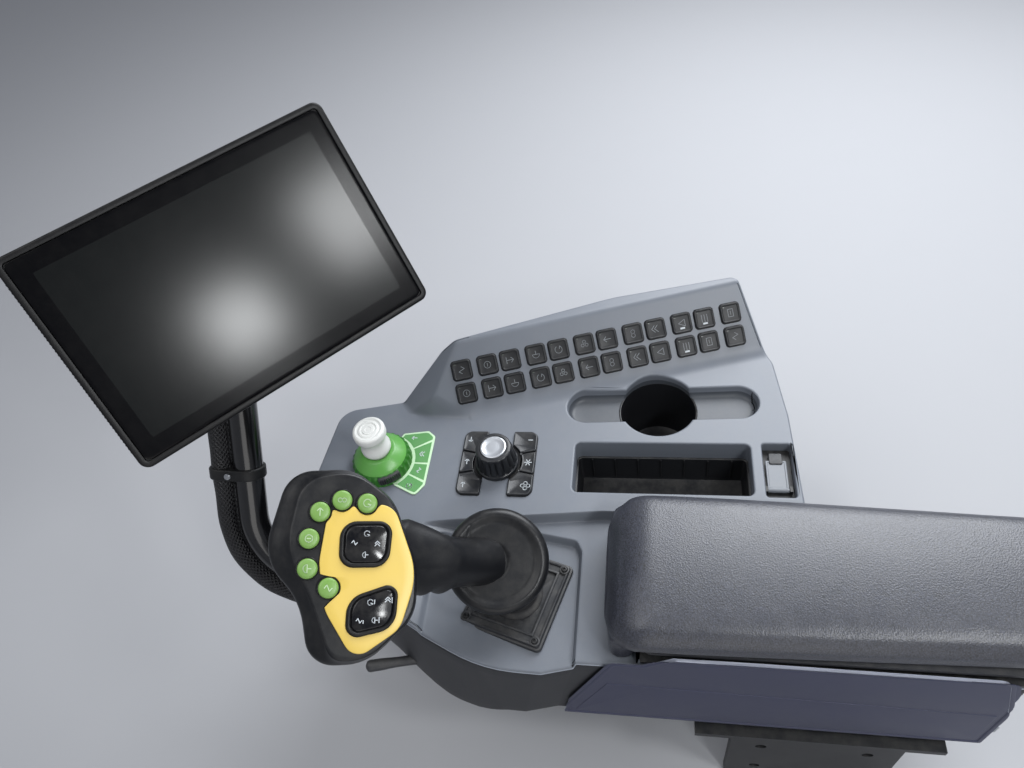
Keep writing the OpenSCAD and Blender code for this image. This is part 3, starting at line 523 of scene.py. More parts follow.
PAD_SKIN = finish("pad_skin", (46, 48, 57), 0.4, grain=800, depth=0.34, smudge=0.18,
                  dust=0.04, speckle=3.4, specular=0.8)
TUBE_PAINT = finish("tube_paint", (9, 9, 11), 0.2, grain=500, depth=0.02, coat=0.6, dust=0.04)
FRAME_BLACK = finish("frame_black", (9, 9, 11), 0.42, grain=1300, depth=0.04, dust=0.05,
                     specular=0.25)
STEEL_BLACK = finish("steel_black", (38, 39, 41), 0.45, grain=600, depth=0.03, metal=0.4)
ZINC = finish("zinc", (165, 168, 172), 0.4, grain=500, depth=0.02, metal=0.9, smudge=0.35)
CAST_BLACK = finish("cast_black", (19, 20, 22), 0.5, grain=500, depth=0.1, metal=0.2)
FLAP_GREY = finish("flap_grey", (112, 116, 122), 0.4, grain=1500, depth=0.02)
print(len(finishes), "finishes")

# %% [markdown]
# The touch screen is dark glass: nearly black, and smooth enough to mirror the lamps softly.
# The sleeve over the cables is braided, so its pattern follows the sleeve's own map: two
# families of diagonal strands that pass over and under each other.

# %% Glass and braid
GLASS_DARK = finish("glass_dark", (12, 14, 14), 0.19, grain=400, depth=0.002, smudge=0.05,
                    dust=0.015, specular=0.25)


def build_braid():
    """Braid: sines of (a*u + b*v) and (a*u - b*v) make two strands; the larger one is on top."""
    tree, given, result = new_group("braid_weave", ["Around", "Along"], ["Height", "Gap"])
    chart = add(tree, "ShaderNodeUVMap", {"uv_map": "along"}).outputs[0]
    parts = add(tree, "ShaderNodeSeparateXYZ", Vector=chart)
    around = calc(tree, "MULTIPLY", parts.outputs["X"], given.outputs["Around"])
    along = calc(tree, "MULTIPLY", parts.outputs["Y"], given.outputs["Along"])
    one = calc(tree, "SINE", calc(tree, "ADD", around, along))
    two = calc(tree, "SINE", calc(tree, "SUBTRACT", around, along))
    top = calc(tree, "MAXIMUM", one, two)
    tree.links.new(top, result.inputs["Height"])
    tree.links.new(calc(tree, "MULTIPLY", one, two), result.inputs["Gap"])
    return tree


STRANDS_ROUND, STRANDS_A_MM = 14, 0.19
BRAID = finish("braid_black", (22, 22, 25), 0.5, grain=1500, depth=0.03, dust=0.05)
braid_tree = BRAID.node_tree
braid_shader = braid_tree.nodes["Principled BSDF"]
weave = add(braid_tree, "ShaderNodeGroup", {"node_tree": build_braid()})
weave.inputs["Around"].default_value = 2 * math.pi * STRANDS_ROUND
weave.inputs["Along"].default_value = 2 * math.pi * STRANDS_A_MM
# The weave's height also sets its colour: darker in the dips between strands and lighter on their
# tops. This is painted shade and a painted highlight over the black.
lit = add(braid_tree, "ShaderNodeMapRange", Value=weave.outputs["Height"], From_Min=-0.4,
          To_Min=0.35, To_Max=1.5).outputs[0]
strand_shading = add(braid_tree, "ShaderNodeCombineColor", Red=lit, Green=lit, Blue=lit).outputs[0]
plain = braid_shader.inputs["Base Color"].links[0].from_socket
painted_weave_shade = blend_colours(braid_tree, 1.0, plain, strand_shading, "MULTIPLY")
braid_tree.links.new(painted_weave_shade, braid_shader.inputs["Base Color"])
braid_bump = add(braid_tree, "ShaderNodeBump", Strength=0.8, Distance=0.0008,
                 Height=weave.outputs["Height"])
braid_tree.links.new(braid_bump.outputs[0], braid_shader.inputs["Normal"])
print("glass and braid ready")

# %% [markdown]
# ## The body
# The console is a hollow moulding: a flat deck, a key panel that rises outboard, and a sunk
# step for the joystick on the seat side. Its plan is one closed outline. Over that plan, the
# top is a height for each place, so a slope, a fillet or a step is one formula in x and y.

# %% Plan of the body
NOSE_Y, TAIL_Y, INNER_X, PAD_X, BODY_H = 362.0, 290.0, 277.0, -133.0, 145.0
DECK_REAR, SKIRT_Y = -137.0, 18.0
EDGE = 2.5
plan = rounded([(137, -84, 10), (108, 50, 120), (42, 236, 22), (4, 284, 16),
                (-10, NOSE_Y - 6, 24), (-112, NOSE_Y + 2, 44), (-212, 318, 70), (-256, 224, 90),
                (-INNER_X - 7, 160, 150), (-INNER_X - 8, 103, 8), (-INNER_X, 71, 8),
                (-INNER_X, -TAIL_Y, 10), (PAD_X - 4, -TAIL_Y, 10), (PAD_X - 4, DECK_REAR, 3),
                (-13, DECK_REAR + 5, 60), (60, DECK_REAR + 14, 30)], arc=5, step=1.3)
plan_out = outward_of(plan)
LEDGE = rounded([(PAD_X + 1, SKIRT_Y - 20, 0), (PAD_X + 1, 54, 30), (-141, 151, 60), (-150, 236, 8),
                 (-340, 236, 0), (-340, SKIRT_Y - 20, 0)], arc=15, step=400)
POCKET = rounded([(-170, 72, 10), (-158, 78, 8), (-151, 117, 30), (-156, 218, 8), (-340, 218, 0),
                  (-340, 72, 0)], arc=15, step=400)
LEDGE_H, POCKET_H = 12.0, 21.0
GIMBAL = np.array([-214.0, 132.0, -30.0])
print("plan has", len(plan), "points")


def inside_by(x, y, outline):
    """Distance to a closed outline, positive inside: the nearest point on any edge; the sign
    comes from how many edges a line to the right crosses."""
    p = np.stack([np.ravel(x), np.ravel(y)], 1)[:, None]
    a, b = outline, np.roll(outline, -1, 0)
    t = np.clip(((p - a) * (b - a)).sum(-1) / ((b - a) ** 2).sum(-1), 0, 1)
    gap = np.linalg.norm(p - a - t[..., None] * (b - a), axis=-1).min(1)
    over = (a[:, 1] > p[..., 1]) != (b[:, 1] > p[..., 1])
    cut = a[:, 0] + (b[:, 0] - a[:, 0]) * (p[..., 1] - a[:, 1]) / (b[:, 1] - a[:, 1] + 1e-9)
    inside = (over & (p[..., 0] < cut)).sum(1) % 2 == 1
    return np.where(inside, gap, -gap).reshape(np.shape(x))


def lower_of(a, b, width):
    """Soft minimum: the smaller value, rounded over a band where both are within the width."""
    h = np.clip(0.5 + 0.5 * (b - a) / width, 0, 1)
    return b * (1 - h) + a * h - width * h * (1 - h)


# %% [markdown]
# The key panel is a plane of 42.5 degrees that starts on a foot line and ends in a narrow rim.
# Its front falls away to the tip on a second plane. Where the raw height is near zero, a
# parabola takes over, which gives the wide hollow fillet along the panel's foot.

# %% Height of the top
WING_YAW, WING_TILT = np.radians([15.5, 42.5])
FOOT = np.array([-12.0, 187.0])
RIM_Z, CREST = 57.0, (29.0, 224.0, 47.0)
FRONT_YAW, FRONT_SLOPE = math.radians(131), 0.737


def panel_height(x, y):
    """Height of the key panel over the deck: the lowest of slope, rim and front, with a
    parabola (h + b)^2 / 4b where the raw height h lies between -b and b."""
    across = (x - FOOT[0]) * math.cos(WING_YAW) + (y - FOOT[1]) * math.sin(WING_YAW)
    fall = (x - CREST[0]) * math.cos(FRONT_YAW) + (y - CREST[1]) * math.sin(FRONT_YAW)
    foot_x = FOOT[0] - 5 * ease((y - FOOT[1]) / 25) + 4 * ease((y - 245) / 27)
    ahead = 1.7 * (x - foot_x) + 3 * np.clip(205 - y, 0, 99)
    raw = lower_of(across * math.tan(WING_TILT), RIM_Z, 3.0)
    raw = lower_of(raw, CREST[2] - FRONT_SLOPE * fall, 3.0)
    raw = lower_of(raw, ahead, 4.0)
    b = 7.8 - 5.3 * ease((y - 205) / 60)
    return np.where(raw > b, raw, np.where(raw < -b, 0.0, (raw + b) ** 2 / (4 * b)))


def recess_height(x, y):
    """Depth beside the joystick: two smooth steps by distance from their outlines, which both
    rise to the deck towards the front."""
    ledge = ease((inside_by(x, y, LEDGE) + 1.0) / 4.5) * (1 - ease((y - 196) / 42))
    pocket = ease((inside_by(x, y, POCKET) + 0.5) / 4.0)
    floor = POCKET_H - 9.0 * ease((y - 110) / 110)
    depth = LEDGE_H * ledge
    return -np.maximum(depth, depth + (floor - depth) * pocket * (1 - ease((y - 205) / 45)))


def top_height(x, y):
    """Height of the whole top: panel outboard, recess on the seat side, -3 under the pad."""
    x, y = np.asarray(x, float), np.asarray(y, float)
    top = panel_height(x, y) + np.where((x < -126) & (y > SKIRT_Y - 6), recess_height(x, y), 0)
    return np.where((x < PAD_X - 1) & (y < SKIRT_Y), -3.0, top)


print("panel rim", round(float(panel_height(120.0, -40.0)), 1), "pocket",
      round(float(recess_height(np.array(-200.0), np.array(90.0))), 1))

# %% [markdown]
# The slot for a phone and the round cup holder cut each other. Seen from the cup's centre,
# their joint outline has one distance for each direction, so the whole opening is a stack of
# rings: the slot moved in by a little more each time, but never inside the cup's circle.

# %% Rings of slot and cup
CUP_R, SLOT_AT, SLOT_YAW = 40.0, np.array([1.2, -3.5]), math.radians(2.4)
SLOT_L, SLOT_W, SLOT_H = 201.0, 42.0, 13.0


def slot_reach(theta, grown):
    """Distance from the cup's centre to the slot's outline, a stadium grown by a margin: the
    side line or the end circle, whichever the ray in direction theta meets."""
    c, s = math.cos(SLOT_YAW), math.sin(SLOT_YAW)
    x0, y0 = -(c * SLOT_AT[0] + s * SLOT_AT[1]), -(-s * SLOT_AT[0] + c * SLOT_AT[1])
    dx, dy = np.cos(theta - SLOT_YAW), np.sin(theta - SLOT_YAW)
    r = SLOT_W / 2 + grown
    half = SLOT_L / 2 - SLOT_W / 2
    side = (np.sign(dx) * r - x0) / np.where(np.abs(dx) < 1e-6, 1e-6, dx)
    cy = np.sign(dy) * half
    b = x0 * dx + (y0 - cy) * dy
    end = -b + np.sqrt(np.maximum(b * b - (x0 * x0 + (y0 - cy) ** 2 - r * r), 0))
    return np.where(np.abs(y0 + side * dy) < half, side, end)


def opening_ring(theta, grown, z, lip):
    """Ring at height z: the slot's reach for this margin, or the cup's circle if larger."""
    r = np.maximum(slot_reach(theta, grown), CUP_R + lip)
    return np.stack([r * np.cos(theta), r * np.sin(theta), np.full(len(theta), z)], 1)


even = np.linspace(0, 2 * np.pi, 4001)[:-1]
walk = opening_ring(even, 2.0, 0.0, 2.0)
length = np.concatenate([[0], np.cumsum(np.linalg.norm(np.diff(walk, axis=0), axis=1))])
theta = np.interp(np.linspace(0, length[-1], 361)[:-1], length, even)
t = np.linspace(0, np.pi / 2, 6)
rim = [(2.0 - 2.0 * math.sin(a), -2.0 * (1 - math.cos(a))) for a in t]
wall = [(-0.4, -4.5), (-0.9, -7.0)]
bowl = [(-1.2 - 6.5 * (1 - math.cos(a)), -7.0 - 6.0 * math.sin(a)) for a in t[1:]]
steps = [(3.0, 0.0)] + rim + wall + bowl
opening = [opening_ring(theta, grown, z, max(0.0, grown)) for grown, z in steps]
floor = opening[-1]
circle = np.stack([CUP_R * np.cos(theta), CUP_R * np.sin(theta), 0 * theta - SLOT_H], 1)
opening += [floor * (1 - k) + circle * k for k in (0.25, 0.5, 0.75, 1.0)]
opening_grid = np.stack(opening)
# The upper rings follow the panel's hollow fillet where it reaches them, the lower are level.
fade = np.concatenate([np.ones(7), [0.75, 0.5], np.zeros(len(opening) - 9)])[:, None]
opening_grid[..., 2] += panel_height(opening_grid[..., 0], opening_grid[..., 1]) * fade
print("opening rings", opening_grid.shape)

# %% [markdown]
# The deck is put together from patches. The flat middle is one polygon with holes, cut into
# triangles by Blender. The key panel is stretched between its foot and the outline, the
# recess between the outline and a line beside it. All take their height from the formula.

# %% Borders of the patches
def border(start, end):
    """Points of the plan, moved in to where the edge's rounding starts, between two places."""
    first = np.argmin(np.linalg.norm(plan - start, axis=1))
    last = np.argmin(np.linalg.norm(plan - end, axis=1))
    count = (last - first) % len(plan)
    chosen = (first + np.arange(count + 1)) % len(plan)
    return plan[chosen] - plan_out[chosen] * (EDGE + 1.0)


def on_top(flat):
    """Flat points lifted to the height of the top."""
    return np.concatenate([flat, top_height(flat[..., 0], flat[..., 1])[..., None]], -1)


outer = border((66.0, -118.0), (2.0, 300.0))
nose = border((2.0, 300.0), (-245.0, 262.0))
seat_side = border((-245.0, 262.0), (-INNER_X, SKIRT_Y + 1))
rear = border((PAD_X, DECK_REAR + 1), (66.0, -118.0))
print("borders of", len(outer), len(nose), len(seat_side), "and", len(rear), "points")

# %% [markdown]
# The panel's foot is a line on the deck that bends round the opening where it comes close. The
# panel is stretched straight across, from the foot to the outline.

# %% Foot line and key panel
foot_way = finer(np.array([outer[0], (54.6, -92.0), (-22.0, 184.0), (-27.0, 216.0),
                           (-26.0, 250.0), (-20.0, 280.0), outer[-1]]), 1.0, closed=False)
collar = opening_grid[0]
collar_angle = np.arctan2(collar[:, 1], collar[:, 0])
collar_reach = np.hypot(collar[:, 0], collar[:, 1])


def beside_opening(x, y):
    """How far a place lies outside the opening's collar, along the ray from the cup's centre."""
    along = np.interp(np.arctan2(y, x), collar_angle, collar_reach, period=2 * np.pi)
    return np.hypot(x, y) - along, along


out_by, along = beside_opening(foot_way[:, 0], foot_way[:, 1])
foot_way *= (np.maximum(out_by, 1.5) + along)[:, None] / np.linalg.norm(foot_way, axis=1,
                                                                        keepdims=True)
foot_way = finer(foot_way, 2.0, closed=False)
spaced = np.concatenate([[0], np.cumsum(np.linalg.norm(np.diff(foot_way, axis=0), axis=1))])
# Each point of the outline has its partner on the foot line, by its share of the way along.
share = np.concatenate([[0], np.cumsum(np.linalg.norm(np.diff(outer, axis=0), axis=1))])
share = (share / share[-1]) ** 1.15
foot = np.stack([np.interp(share * spaced[-1], spaced, foot_way[:, k]) for k in (0, 1)], 1)
foot[0], foot[-1] = outer[0], outer[-1]
v = np.linspace(0, 1, 81)[None, :, None]
wing = on_top(foot[:, None] * (1 - v) + outer[:, None] * v)
print("key panel", wing.shape[:2], "points")

# %% [markdown]
# The recess's columns crowd towards the line beside it, where its walls are steep. Faces under
# the joystick's base plate are left out, since the gimbal stands there.

# %% Recess
BESIDE_X = -127.0
across = 1 - np.linspace(1, 0, 201)[None, :, None] ** 2
beside = np.stack([np.full(len(seat_side), BESIDE_X), seat_side[:, 1]], 1)
recess = on_top(seat_side[:, None] * (1 - across) + beside[:, None] * across)
recess_faces = quads(*recess.shape[:2])
middles = recess.reshape(-1, 3)[recess_faces].mean(1)
BASE_HOLE_R = 38.5
recess_faces = recess_faces[np.linalg.norm(middles[:, :2] - GIMBAL[:2], axis=1) > BASE_HOLE_R]
print("recess", len(recess_faces), "faces")

# %% Flat middle with its holes
TRAY_AT, TRAY_W, TRAY_L, TRAY_R = (-80.0, -3.0), 60.0, 176.0, 6.0
SOCKET_AT, SOCKET_W, SOCKET_L = (-80.0, -115.0), 62.0, 28.0
HOLE_EDGE = 1.6


def box_plan(centre, width, length, radius, step=6.0):
    """Rounded rectangle about a centre, anticlockwise from its right side."""
    x, y = centre
    w, h = width / 2, length / 2
    return rounded([(x + w, y - h, radius), (x + w, y + h, radius), (x - w, y + h, radius),
                    (x - w, y - h, radius)], arc=12, step=step)


def hole_rings(outline, depth):
    """Rim of a hole: flat collar, rounded edge, straight wall down to a depth."""
    edge = [(HOLE_EDGE * (1 - math.sin(a)), -HOLE_EDGE * (1 - math.cos(a)))
            for a in np.linspace(0, np.pi / 2, 5)]
    return rings(outline, [(HOLE_EDGE + 1, 0.0)] + edge + [(0.0, -depth)])


tray_rim = hole_rings(box_plan(TRAY_AT, TRAY_W, TRAY_L, TRAY_R), 25.8)
socket_plan = box_plan((SOCKET_AT[0], SOCKET_AT[1] - 1), SOCKET_W, SOCKET_L, 3.0)
socket_rim = hole_rings(socket_plan, 12.0)
side_edge = np.array([(BESIDE_X, SKIRT_Y + 1), (PAD_X - 3.5, SKIRT_Y + 1)])
under_pad = np.array([(PAD_X - 3.5, y) for y in np.linspace(SKIRT_Y, DECK_REAR + 5, 12)])
flat_edge = np.vstack([rear[1:-1], foot[:-1], nose[:-1], recess[0, :, :2], beside[1:],
                       side_edge[1:], under_pad])
holes = [opening_grid[0][:, :2], tray_rim[0][:, :2], socket_rim[0][:, :2]]
borders = [np.concatenate([p, panel_height(p[:, :1], p[:, 1:])], 1)
           for p in [flat_edge] + holes]
triangles = tessellate_polygon([[tuple(p) for p in one] for one in borders])
flat = (np.concatenate(borders), np.array(triangles))
print("flat deck", len(flat[1]), "triangles")


# %% Edge and deck moulding
def edge_rings():
    """Rings down the outside of the deck: a collar on the top, the rounded edge, the wall, and
    a narrow groove where the deck meets the lower body."""
    ways = [EDGE + 1.0, EDGE]
    collar = [on_top(plan - plan_out * way) for way in ways]
    height = collar[1][:, 2:]
    grid = list(collar)
    for a in np.linspace(0, np.pi / 2, 7)[1:]:
        flat_points = plan - plan_out * EDGE * (1 - math.sin(a))
        grid.append(np.concatenate([flat_points, height - EDGE * (1 - math.cos(a))], 1))
    seam = np.minimum(-3.0, height - 4.5)
    for out, down in ((0.0, 0.3), (-0.7, -0.2), (-0.9, -0.7)):
        grid.append(np.concatenate([plan + plan_out * out, seam + down], 1))
    return np.stack(grid), seam


edge_grid, seam = edge_rings()
patches = [(flat[0], flat[1], 0), (wing.reshape(-1, 3), quads(*wing.shape[:2]), 0),
           (recess.reshape(-1, 3), recess_faces, 0)]
# From ring 8 down, the opening's lower wall, rounded foot and floor take the darker grey: painted
# shade in the recess.
for grid, colour in ((opening_grid[:9], 0), (opening_grid[8:], 1), (tray_rim, 0),
                     (socket_rim, 0)):
    patches.append((grid.reshape(-1, 3), quads(*grid.shape[:2], wrap_cols=True), colour))
# Rings 6 to 8, the lower rounding of the edge and the top of its wall, are painted lighter: a
# painted highlight along the deck's edge.
for grid, colour in ((edge_grid[:7], 0), (edge_grid[6:9], 2), (edge_grid[8:], 0)):
    patches.append((grid.reshape(-1, 3), quads(*grid.shape[:2], wrap_cols=True), colour))
deck = piece("deck_moulding", patches, [DECK_GREY, SLOT_SHADE_GREY, DECK_EDGE_HIGHLIGHT], "console",
             ["console_deck"], crease=50, outward=False)

# %% [markdown]
# A surface with open borders has no inside for Blender to find, so the deck's faces are
# turned by hand: on the deck every face looks up or away from the body's middle.

# %% Faces of the deck look out
def face_outwards(thing, out_of):
    """Turn each face whose normal points the wrong way: out_of gives the wanted direction for
    each face centre, as whole arrays."""
    mesh = thing.data
    count = len(mesh.polygons)
    centre, normal = np.empty(count * 3), np.empty(count * 3)
    mesh.polygons.foreach_get("center", centre)
    mesh.polygons.foreach_get("normal", normal)
    wanted = out_of(centre.reshape(-1, 3) * 1000 - DECK)
    wrong = np.flatnonzero((normal.reshape(-1, 3) * wanted).sum(1) < 0)
    work = bmesh.new()
    work.from_mesh(mesh)
    work.faces.ensure_lookup_table()
    bmesh.ops.reverse_faces(work, faces=[work.faces[i] for i in wrong])
    work.to_mesh(mesh)
    work.free()
    print(thing.name, "turned", len(wrong))


def deck_out(centre):
    """Up for the top, away from the nearest plan edge for the rim, inwards for the holes."""
    x, y, z = centre.T
    near = inside_by(x, y, plan[::6])
    step = 0.5
    slope = np.stack([inside_by(x + step, y, plan[::6]) - near,
                      inside_by(x, y + step, plan[::6]) - near], 1) / step
    rim_part = near < EDGE + 1.2
    in_cup = np.hypot(x, y) < CUP_R + 3
    out = np.stack([np.zeros_like(x), np.zeros_like(x), np.ones_like(x)], 1)
    out[rim_part, :2] = -slope[rim_part]
    out[rim_part, 2] = 0.15
    inner = ~rim_part & ((z < -0.01) | (beside_opening(x, y)[0] < -2.0)) & (x > BESIDE_X)
    middle_x = np.where(np.abs(x - TRAY_AT[0]) < 34, TRAY_AT[0], SLOT_AT[0])
    middle_y = np.where(y < -98, SOCKET_AT[1] - 1, np.clip(y, -78, 72))
    middle_x = np.where((y < -98) & (x < -40), SOCKET_AT[0], middle_x)
    middle_y = np.where(in_cup, 0.0, middle_y)
    out[inner, 0] = (middle_x - x)[inner]
    out[inner, 1] = (middle_y - y)[inner]
    out[inner, 2] = 8.0
    return out


face_outwards(deck, deck_out)

# %% [markdown]
# Below the seam the body is a tub. Its underside rises towards the nose and towards the
# outboard side, and a wide rounding joins it to the walls. The bottom is a fan of shrinking
# rings about a point from which the whole plan can be seen.
# The step in front of the side panel leans forward on its way down, and ahead of it the wall
# flares out towards the seat side.

# %% Lower body
STEP_SLANT, FLARE, LOW_EDGE = 30.0, 14.0, 10.0
FAN_MIDDLE = np.array([-200.0, -60.0])


def underside(x, y):
    """Height of the bottom: the lowest level, raised by the keel line in y or by the hull line
    in x, whichever is higher there."""
    keel = np.interp(y, [-400, 178, 262, 420], [0, 0, 38, 42])
    hull = np.interp(x, [-400, -20, 60, 160], [0, 0, 45, 70])
    return -BODY_H - lower_of(-keel, -hull, 8.0)


def body_rings():
    """Rings down the tub: inside the seam's groove, wall, rounded lower edge, fan to the middle.
    Then the step is slanted and the wall flared, both by more the lower a point lies."""
    base = underside(plan[:, 0], plan[:, 1])[:, None]
    grid = []
    for out, down in ((-0.9, -0.5), (-0.7, -1.3), (-0.2, -1.9), (0.0, -2.6)):
        grid.append(np.concatenate([plan + plan_out * out, seam + down], 1))
    low = base + LOW_EDGE
    for k in np.linspace(0, 1, 9)[1:]:
        grid.append(np.concatenate([plan, (seam - 2.6) * (1 - k) + low * k], 1))
    for a in np.linspace(0, np.pi / 2, 8)[1:]:
        flat_points = plan - plan_out * LOW_EDGE * (1 - math.cos(a))
        level = underside(flat_points[:, 0], flat_points[:, 1])[:, None]
        grid.append(np.concatenate([flat_points, level + LOW_EDGE * (1 - math.sin(a))], 1))
    last = grid[-1][:, :2]
    for k in np.linspace(0.96, 0.02, 18):
        flat_points = FAN_MIDDLE + (last - FAN_MIDDLE) * k
        level = underside(flat_points[:, 0], flat_points[:, 1])[:, None]
        grid.append(np.concatenate([flat_points, level], 1))
    grid = np.stack(grid)
    x, y, z = np.moveaxis(grid, -1, 0)
    beside_step = ease((y - 10) / 45) * (1 - ease((y - 112) / 80)) * ease((40 - INNER_X - x) / 40)
    grid[..., 1] += STEP_SLANT * beside_step * np.clip((-z - 8) / (BODY_H - 8), 0, 1)
    on_seat_side = ease((y - 120) / 90) * (1 - ease((y - 215) / 100)) * ease((-x - 200) / 50)
    wanted = FLARE * on_seat_side * np.clip((-z - 12) / 110, 0, 1)
    room = grid[..., 0] + INNER_X + 8.0
    grid[..., 0] -= np.clip(lower_of(wanted, room, 9.0), 0, FLARE)
    return grid


body_grid = body_rings()
rows, cols = body_grid.shape[:2]
last_ring = (rows - 1) * cols + np.arange(cols)[None]
body_faces = [quads(rows, cols, wrap_cols=True), last_ring]
piece("lower_body", [(body_grid.reshape(-1, 3), body_faces, 0)], [BODY_GREY], "console",
      ["console_tub"], crease=50)

# %% [markdown]
# ## Liners
# The cup holder and the tray are dark liners set into the deck. Each is one closed wall: up
# the inside, over the rim and down the outside. The tray has a step below its rim and thin
# upright ribs, which show as fine lines in its shade.

# %% Cup and tray
cup_wall = [(0.0, -90.8), (30.0, -90.8), (37.0, -88.5), (39.2, -83.0), (39.5, -60.0),
            (39.7, -14.0), (39.9, -12.6), (40.9, -12.2), (41.8, -12.8), (42.3, -16.0),
            (42.4, -88.0), (38.0, -93.8), (0.0, -94.0)]
cup_grid = turned(cup_wall, 96)
piece("cup_liner", [shell(cup_grid, "none")], [LINER_BLACK], "console", ["cup_insert"])
tray_plan = box_plan(TRAY_AT, TRAY_W, TRAY_L, TRAY_R)
tray_wall = [(-9.0, -61.6), (-4.5, -60.5), (-2.7, -56.0), (-2.3, -27.4), (-1.9, -26.0),
             (-0.9, -25.4), (0.4, -25.4), (1.4, -26.0), (2.3, -28.0), (2.5, -60.0), (0.0, -64.8)]
tray_parts = [shell(rings(tray_plan, tray_wall))]
for k in range(-3, 4):
    rib = box_plan((TRAY_AT[0] + 27.0, TRAY_AT[1] + k * 24.0), 1.8, 1.4, 0.5)
    tray_parts.append(slab(rib, -58.0, -26.4, 0.4))
piece("tray_liner", tray_parts, [LINER_BLACK], "console", ["tray_bin"])

# %% [markdown]
# The socket sits in a small well. Its cover is a thin grey plate with a raised border, a
# round hinge along one end and a tab to lift it by.

# %% Socket cover
FLAP_L, FLAP_W, FLAP_Z = 34.0, 20.0, -9.0
flap_x = SOCKET_AT[0] - FLAP_L / 2 - 1
plate = box_plan((flap_x + FLAP_L / 2, SOCKET_AT[1]), FLAP_L, FLAP_W, 1.5, 3.0)
border_profile = [(-0.5, FLAP_Z - 1.2), (0.0, FLAP_Z - 0.8), (0.0, FLAP_Z + 0.7),
                  (-0.5, FLAP_Z + 1.2), (-1.8, FLAP_Z + 1.2), (-2.3, FLAP_Z + 0.7)]
tab = box_plan((flap_x + FLAP_L + 2.0, SOCKET_AT[1]), 13.0, 13.0, 2.0, 3.0)
barrel = rod([(flap_x, SOCKET_AT[1] + y, FLAP_Z) for y in np.linspace(-9.9, 9.9, 7)],
             [2.2, 2.6, 2.6, 2.6, 2.6, 2.6, 2.2], 24)
piece("socket_cover", [shell(rings(plate, border_profile)),
                       slab(tab, FLAP_Z - 1.1, FLAP_Z + 2.0, 0.9, 0.4) + (1,), shell(barrel)],
      [FLAP_GREY, BASE_GREY], "flap", ["socket_flap"])

# %% [markdown]
# ## Signs
# The real keys carry small pictures. Here they are generic strokes: rings, arrows, bars and
# fans. A stroke is a flat ribbon just above its key, so it stays a clean shape up close.

# %% Strokes for signs
def circle_line(radius, start=0.0, turn=360.0, at=(0.0, 0.0), count=18):
    """Points on an arc: centre plus radius times (cos t, sin t)."""
    t = np.radians(np.linspace(start, start + turn, count))
    return [(at[0] + radius * math.cos(a), at[1] + radius * math.sin(a)) for a in t]


def fan_lines(blades, radius):
    """Petals of a fan: short loops turned about the hub by equal angles."""
    lines = []
    for k in range(blades):
        a = 2 * math.pi * k / blades
        hub = (radius * 0.55 * math.cos(a), radius * 0.55 * math.sin(a))
        lines.append(circle_line(radius * 0.36, math.degrees(a), 330, hub, 10))
    return lines


SIGNS = [
    [circle_line(3.2), [(-1.5, 0), (1.5, 0)]],
    [[(0, -3.4), (0, 3.4)], [(-2.4, 1), (0, 3.4), (2.4, 1)]],
    [[(-3.6, -2.4), (3.6, -2.4), (3.6, 2.4), (-3.6, 2.4), (-3.6, -2.4)], [(-1.6, 0), (1.6, 0)]],
    [circle_line(3.4, 30, 280), [(1.0, -3.4), (3.2, -1.6), (0.6, -0.8)]],
    [[(-3.2, -3), (0, 3.2), (3.2, -3), (-3.2, -3)]],
    [[(0, 3.4), (0, -3.4)], [(-2.4, -1), (0, -3.4), (2.4, -1)], [(-3, 3.4), (3, 3.4)]],
    [circle_line(1.8, at=(-1.8, 0)), circle_line(1.8, at=(1.8, 0))],
    [[(-3.4, 0), (-1.2, 2.8), (1.2, -2.8), (3.4, 0)]],
    fan_lines(3, 4.0),
    [[(-3.4, 2.6), (3.4, 2.6)], [(-3.4, 0), (3.4, 0)], [(-3.4, -2.6), (3.4, -2.6)]],
    [circle_line(3.4, 90, 180), [(0, 3.4), (0, -3.4)], [(0, 0), (3.4, 0)]],
    [[(-3.2, -2), (0, 1.2), (3.2, -2)], [(-3.2, 1), (0, 4.0), (3.2, 1)]],
]
SIGN_FAINT = finish("sign_faint", (112, 116, 120), 0.5, grain=2000, depth=0.01)


def strokes(lines, width, height, at=(0.0, 0.0), scale=1.0):
    """A sign's ribbons, scaled and set at a place on its key."""
    shifted = [[(at[0] + scale * x, at[1] + scale * y) for x, y in line] for line in lines]
    return ribbons(shifted, width, height)


print(len(SIGNS), "signs")

# %% [markdown]
# The panel has two rows of twelve soft keys: a single one, five pairs and a single one. Each
# is a rounded square with a raised border, a small lamp in one corner and its sign. All keys
# are the same rings, set at their places in the slope's own frame.

# %% Panel keys
KEY_W, ROW_1, ROW_PITCH, PAIR_GAP, KEY_PITCH, FIRST_COL = 22.0, 26.0, 26.0, 29.0, 25.5, 16.0
on_wing = spin(z=np.degrees(WING_YAW)) @ spin(y=-np.degrees(WING_TILT))
wing_at = np.array([FOOT[0], FOOT[1], 0.0])
key_plan = box_plan((0, 0), KEY_W - 0.6, KEY_W - 0.6, 4.0, 4.0)
key_side = [(0.2, 0.3), (0.0, 0.6), (0.0, 2.2), (-0.4, 2.9), (-1.0, 3.2), (-1.7, 3.1),
            (-2.3, 2.5), (-3.0, 2.35)]
gap_plan = box_plan((0, 0), KEY_W + 0.9, KEY_W + 0.9, 4.4, 4.0)
key = shell(rings(key_plan, key_side))
gap = slab(gap_plan, -0.4, 0.35, 0.2)
lamp = slab(box_plan((7.0, 6.8), 1.4, 2.4, 0.4, 2.0), 2.2, 2.75, 0.2)
bar = strokes([[(-5.6, -1.9), (-5.6, 1.9)]], 1.9, 2.5)
BAR_KEYS = ((0, 9), (1, 9), (1, 10))
key_parts = []
